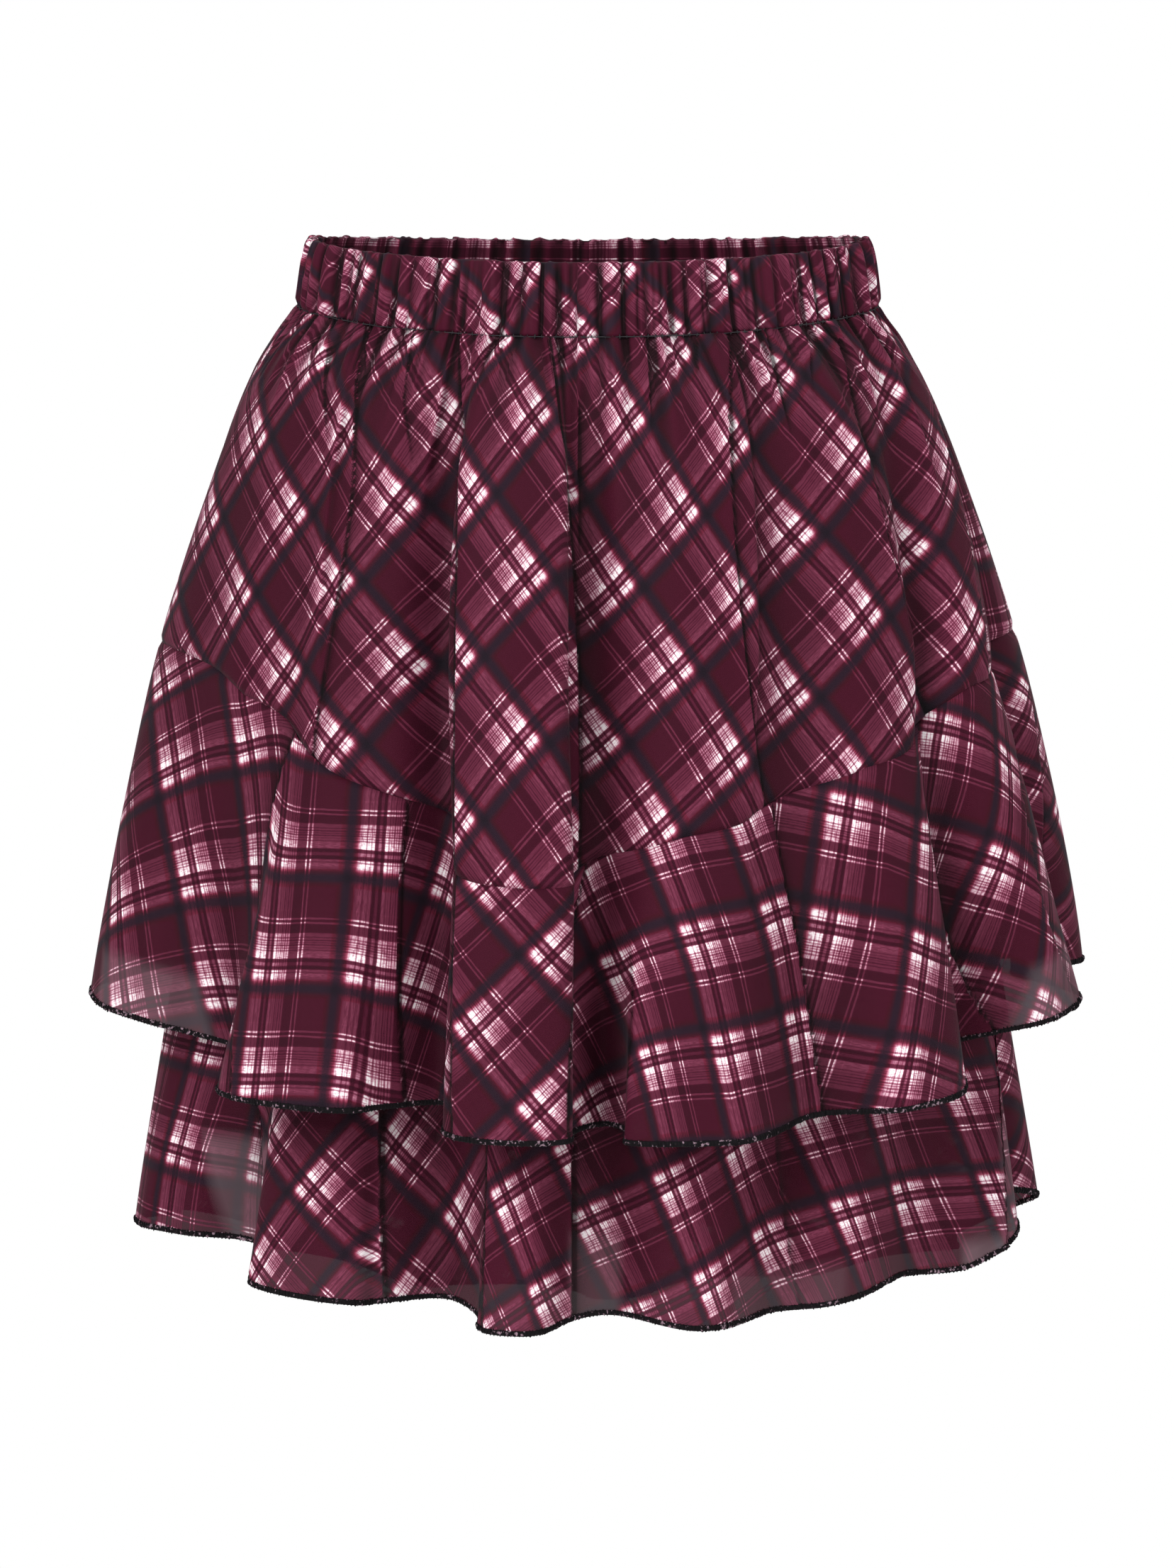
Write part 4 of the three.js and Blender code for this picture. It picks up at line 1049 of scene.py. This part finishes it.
def thread_line(name, path, material, pitch, loop, thread, core, seed):
    """Thread sewn along a line of points in mm: loops or stitches at an even pitch round a flat core.
    loop is a loop's half width across the edge and along the drop, or a stitch's half length twice."""
    mesh = bpy.data.meshes.new(name)
    mesh.from_pydata((np.asarray(path) * MM).tolist(), [(i, i + 1) for i in range(len(path) - 1)], [])
    piece = new_object(name, mesh)
    group = bpy.data.node_groups.new(name, "GeometryNodeTree")
    group_input(group, "Geometry", "NodeSocketGeometry", None)
    values = {"Pitch": pitch * MM, "Across": loop[0] * MM, "Along": loop[1] * MM, "Thread": thread * MM,
              "Core Across": core[0] * MM, "Core Along": core[1] * MM}
    names = {key: group_input(group, key, "NodeSocketFloat", value) for key, value in values.items()}
    names["Seed"] = group_input(group, "Seed", "NodeSocketInt", seed)
    group.interface.new_socket("Geometry", in_out="OUTPUT", socket_type="NodeSocketGeometry")
    given = node(group, "NodeGroupInput").outputs

    def step(kind, inputs=None, output=0, **settings):
        return node(group, kind, inputs, **settings).outputs[output]

    def oval(across, along):
        ring = step("GeometryNodeCurvePrimitiveCircle", {"Resolution": 8, "Radius": 1.0})
        size = step("ShaderNodeCombineXYZ", {0: across, 1: along, 2: 1.0})
        return step("GeometryNodeTransform", {"Geometry": ring, "Scale": size})

    line = step("GeometryNodeMeshToCurve", {0: given["Geometry"]})
    line = step("GeometryNodeSetCurveNormal", {0: line}, mode="Z_UP")
    sewn = step("GeometryNodeResampleCurve", {"Curve": line, "Length": given["Pitch"]}, mode="LENGTH")
    strand = step("GeometryNodeCurvePrimitiveCircle", {"Resolution": 3, "Radius": given["Thread"]})
    stitch = step("GeometryNodeCurveToMesh", {0: oval(given["Across"], given["Along"]), 1: strand})
    tangent = step("GeometryNodeInputTangent")
    facing = step("FunctionNodeAlignRotationToVector", {"Vector": tangent}, axis="Z")
    upright = step("FunctionNodeAlignRotationToVector", {"Rotation": facing, "Vector": (0, 0, 1)},
                   axis="Y", pivot_axis="Z")
    lean = step("FunctionNodeRandomValue", {
        0: (-0.25, 0.15, -0.1), 1: (0.25, 0.75, 0.1), "Seed": given["Seed"]}, data_type="FLOAT_VECTOR")
    lean = step("FunctionNodeEulerToRotation", {0: lean})
    turned = step("FunctionNodeRotateRotation", {0: upright, 1: lean}, rotation_space="LOCAL")
    growth = step("FunctionNodeRandomValue", {2: 0.85, 3: 1.15, "Seed": given["Seed"]}, output=1)
    loops = step("GeometryNodeInstanceOnPoints", {
        "Points": sewn, "Instance": stitch, "Rotation": turned, "Scale": growth})
    profile = oval(given["Core Across"], given["Core Along"])
    body = step("GeometryNodeCurveToMesh", {0: line, 1: profile, "Fill Caps": True})
    joined = node(group, "GeometryNodeJoinGeometry", {0: body})
    group.links.new(loops, joined.inputs[0])
    real = step("GeometryNodeRealizeInstances", {0: joined.outputs[0]})
    coloured = step("GeometryNodeSetMaterial", {"Geometry": real, "Material": material})
    node(group, "NodeGroupOutput", {0: coloured})
    modifier = piece.modifiers.new("sewing", "NODES")
    modifier.node_group = group
    for key, value in values.items():
        modifier[names[key]] = value
    modifier[names["Seed"]] = seed
    made = bpy.data.meshes.new_from_object(piece.evaluated_get(bpy.context.evaluated_depsgraph_get()))
    piece.modifiers.clear()
    piece.data = made
    piece.data.name = name
    return piece


def finish_piece(piece, material, slot_name, *nodes):
    piece.data.materials.append(material)
    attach(piece, "root")
    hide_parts(*nodes)


def sheet_area(piece):
    """The area of one side of a thin shell, in square metres."""
    areas = np.empty(len(piece.data.polygons))
    piece.data.polygons.foreach_get("area", areas)
    return float(areas.sum() / 2)


def sew_on(name, path, material, **sizes):
    piece = thread_line(name, path, material, **sizes)
    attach(piece, "root")
    return piece


def sewn_hem(name, edge):
    return sew_on(name, edge + (0, 0, 0.8), THREAD, pitch=1.55, loop=(0.72, 1.25), thread=0.26,
                  core=(0.5, 1.15), seed=5)


for half in ("front", "back"):
    band = waistband(half)
    finish_piece(band, BAND_CLOTH, "plaid_chiffon", half + "_waistband")
    top_panel = panel(half)
    finish_piece(top_panel, CHIFFON, "plaid_chiffon", half + "_panel")
    upper, edge = flounce(half + "_upper", OUTER_LAYER, outer_point, SHELL_INSET, UPPER_CUT_RADIUS, 3)
    finish_piece(upper, CHIFFON, "plaid_chiffon", half + "_upper_flounce")
    upper_hem = sewn_hem(half + "_upper_overlock", edge)
    lining = underskirt(half)
    finish_piece(lining, LINING, "lining", half + "_underskirt")
    lower, edge = flounce(half + "_lower", INNER_LAYER, inner_point, LINING_INSET + SHELL_INSET,
                          LOWER_CUT_RADIUS, 11)
    finish_piece(lower, CHIFFON, "plaid_chiffon", half + "_lower_flounce")
    lower_hem = sewn_hem(half + "_lower_overlock", edge)
    around = np.linspace(*HALF_ENDS[half], 500)[2:-2]
    seam = band_point(around, np.ones_like(around), -0.75 + 0.5 * gather_wave(around)) + (0, 0, -0.25)
    stitches = sew_on(half + "_waist_stitches", seam, STITCH, pitch=3.0, loop=(0.16, 0.85), thread=0.2,
                      core=(0.22, 0.22), seed=9)
    for sheet, held, hangs_from, extra in (
            (top_panel, "gathered", band, [stitches]), (upper, "hung", top_panel, [upper_hem]),
            (lining, "gathered", band, []), (lower, "hung", lining, [lower_hem])):
        round(sheet_area(sheet), 4)

# The camera, in metres: how far off it is, the height that the photo shows, and the height of its middle.
DISTANCE = 9.0
PHOTO_ROWS = 2212
FRAME_HEIGHT = PHOTO_ROWS / PHOTO_SCALE * MM
FRAME_MIDDLE = -0.2259
SENSOR_WIDTH = 36
camera_data = bpy.data.cameras.new("camera")
camera = new_object("camera", camera_data)
bpy.context.scene.camera = camera
camera_data.sensor_width = SENSOR_WIDTH
camera_data.lens = SENSOR_WIDTH * DISTANCE / FRAME_HEIGHT
camera_data.clip_end = 100
camera.location = (0, FRAME_MIDDLE * math.sin(ELEVATION) - DISTANCE * math.cos(ELEVATION),
                   FRAME_MIDDLE * math.cos(ELEVATION) + DISTANCE * math.sin(ELEVATION))
camera.rotation_euler = (math.pi / 2 - ELEVATION, 0, 0)


def soft_light(name, place, size, power):
    """A square light that points at the middle of the skirt."""
    data = bpy.data.lights.new(name, "AREA")
    data.size = size
    data.energy = power
    lamp = new_object(name, data)
    lamp.location = place
    x, y, z = np.array((0, 0, -0.2)) - place
    lamp.rotation_euler = (math.atan2(math.hypot(x, y), -z), 0, math.atan2(-x, y))


soft_light("key_light", (-1.6, -2.6, 1.3), 1.6, 88)
soft_light("fill_light", (2.2, -2.2, 0.4), 2.0, 34)
soft_light("top_light", (0.3, 0.6, 2.2), 1.5, 30)

world = bpy.data.worlds.new("studio")
bpy.context.scene.world = world
world.use_nodes = True
tree = world.node_tree
tree.nodes.clear()
seen = node(tree, "ShaderNodeLightPath")
strength = maths(tree, "MULTIPLY_ADD", seen.outputs["Is Camera Ray"], 0.42, 0.58)
air = node(tree, "ShaderNodeBackground", {0: (1, 1, 1, 1), 1: strength})
node(tree, "ShaderNodeOutputWorld", {0: air.outputs[0]})
bpy.context.scene.view_settings.view_transform = "Standard"

bpy.ops.mesh.primitive_circle_add(vertices=96, radius=2.4, fill_type="NGON", location=(0, 0, -1.02))
floor = bpy.context.object
floor.name = "studio_floor"
floor.data.materials.append(plain_finish("pale_floor", "f2f0ef", 0.9))
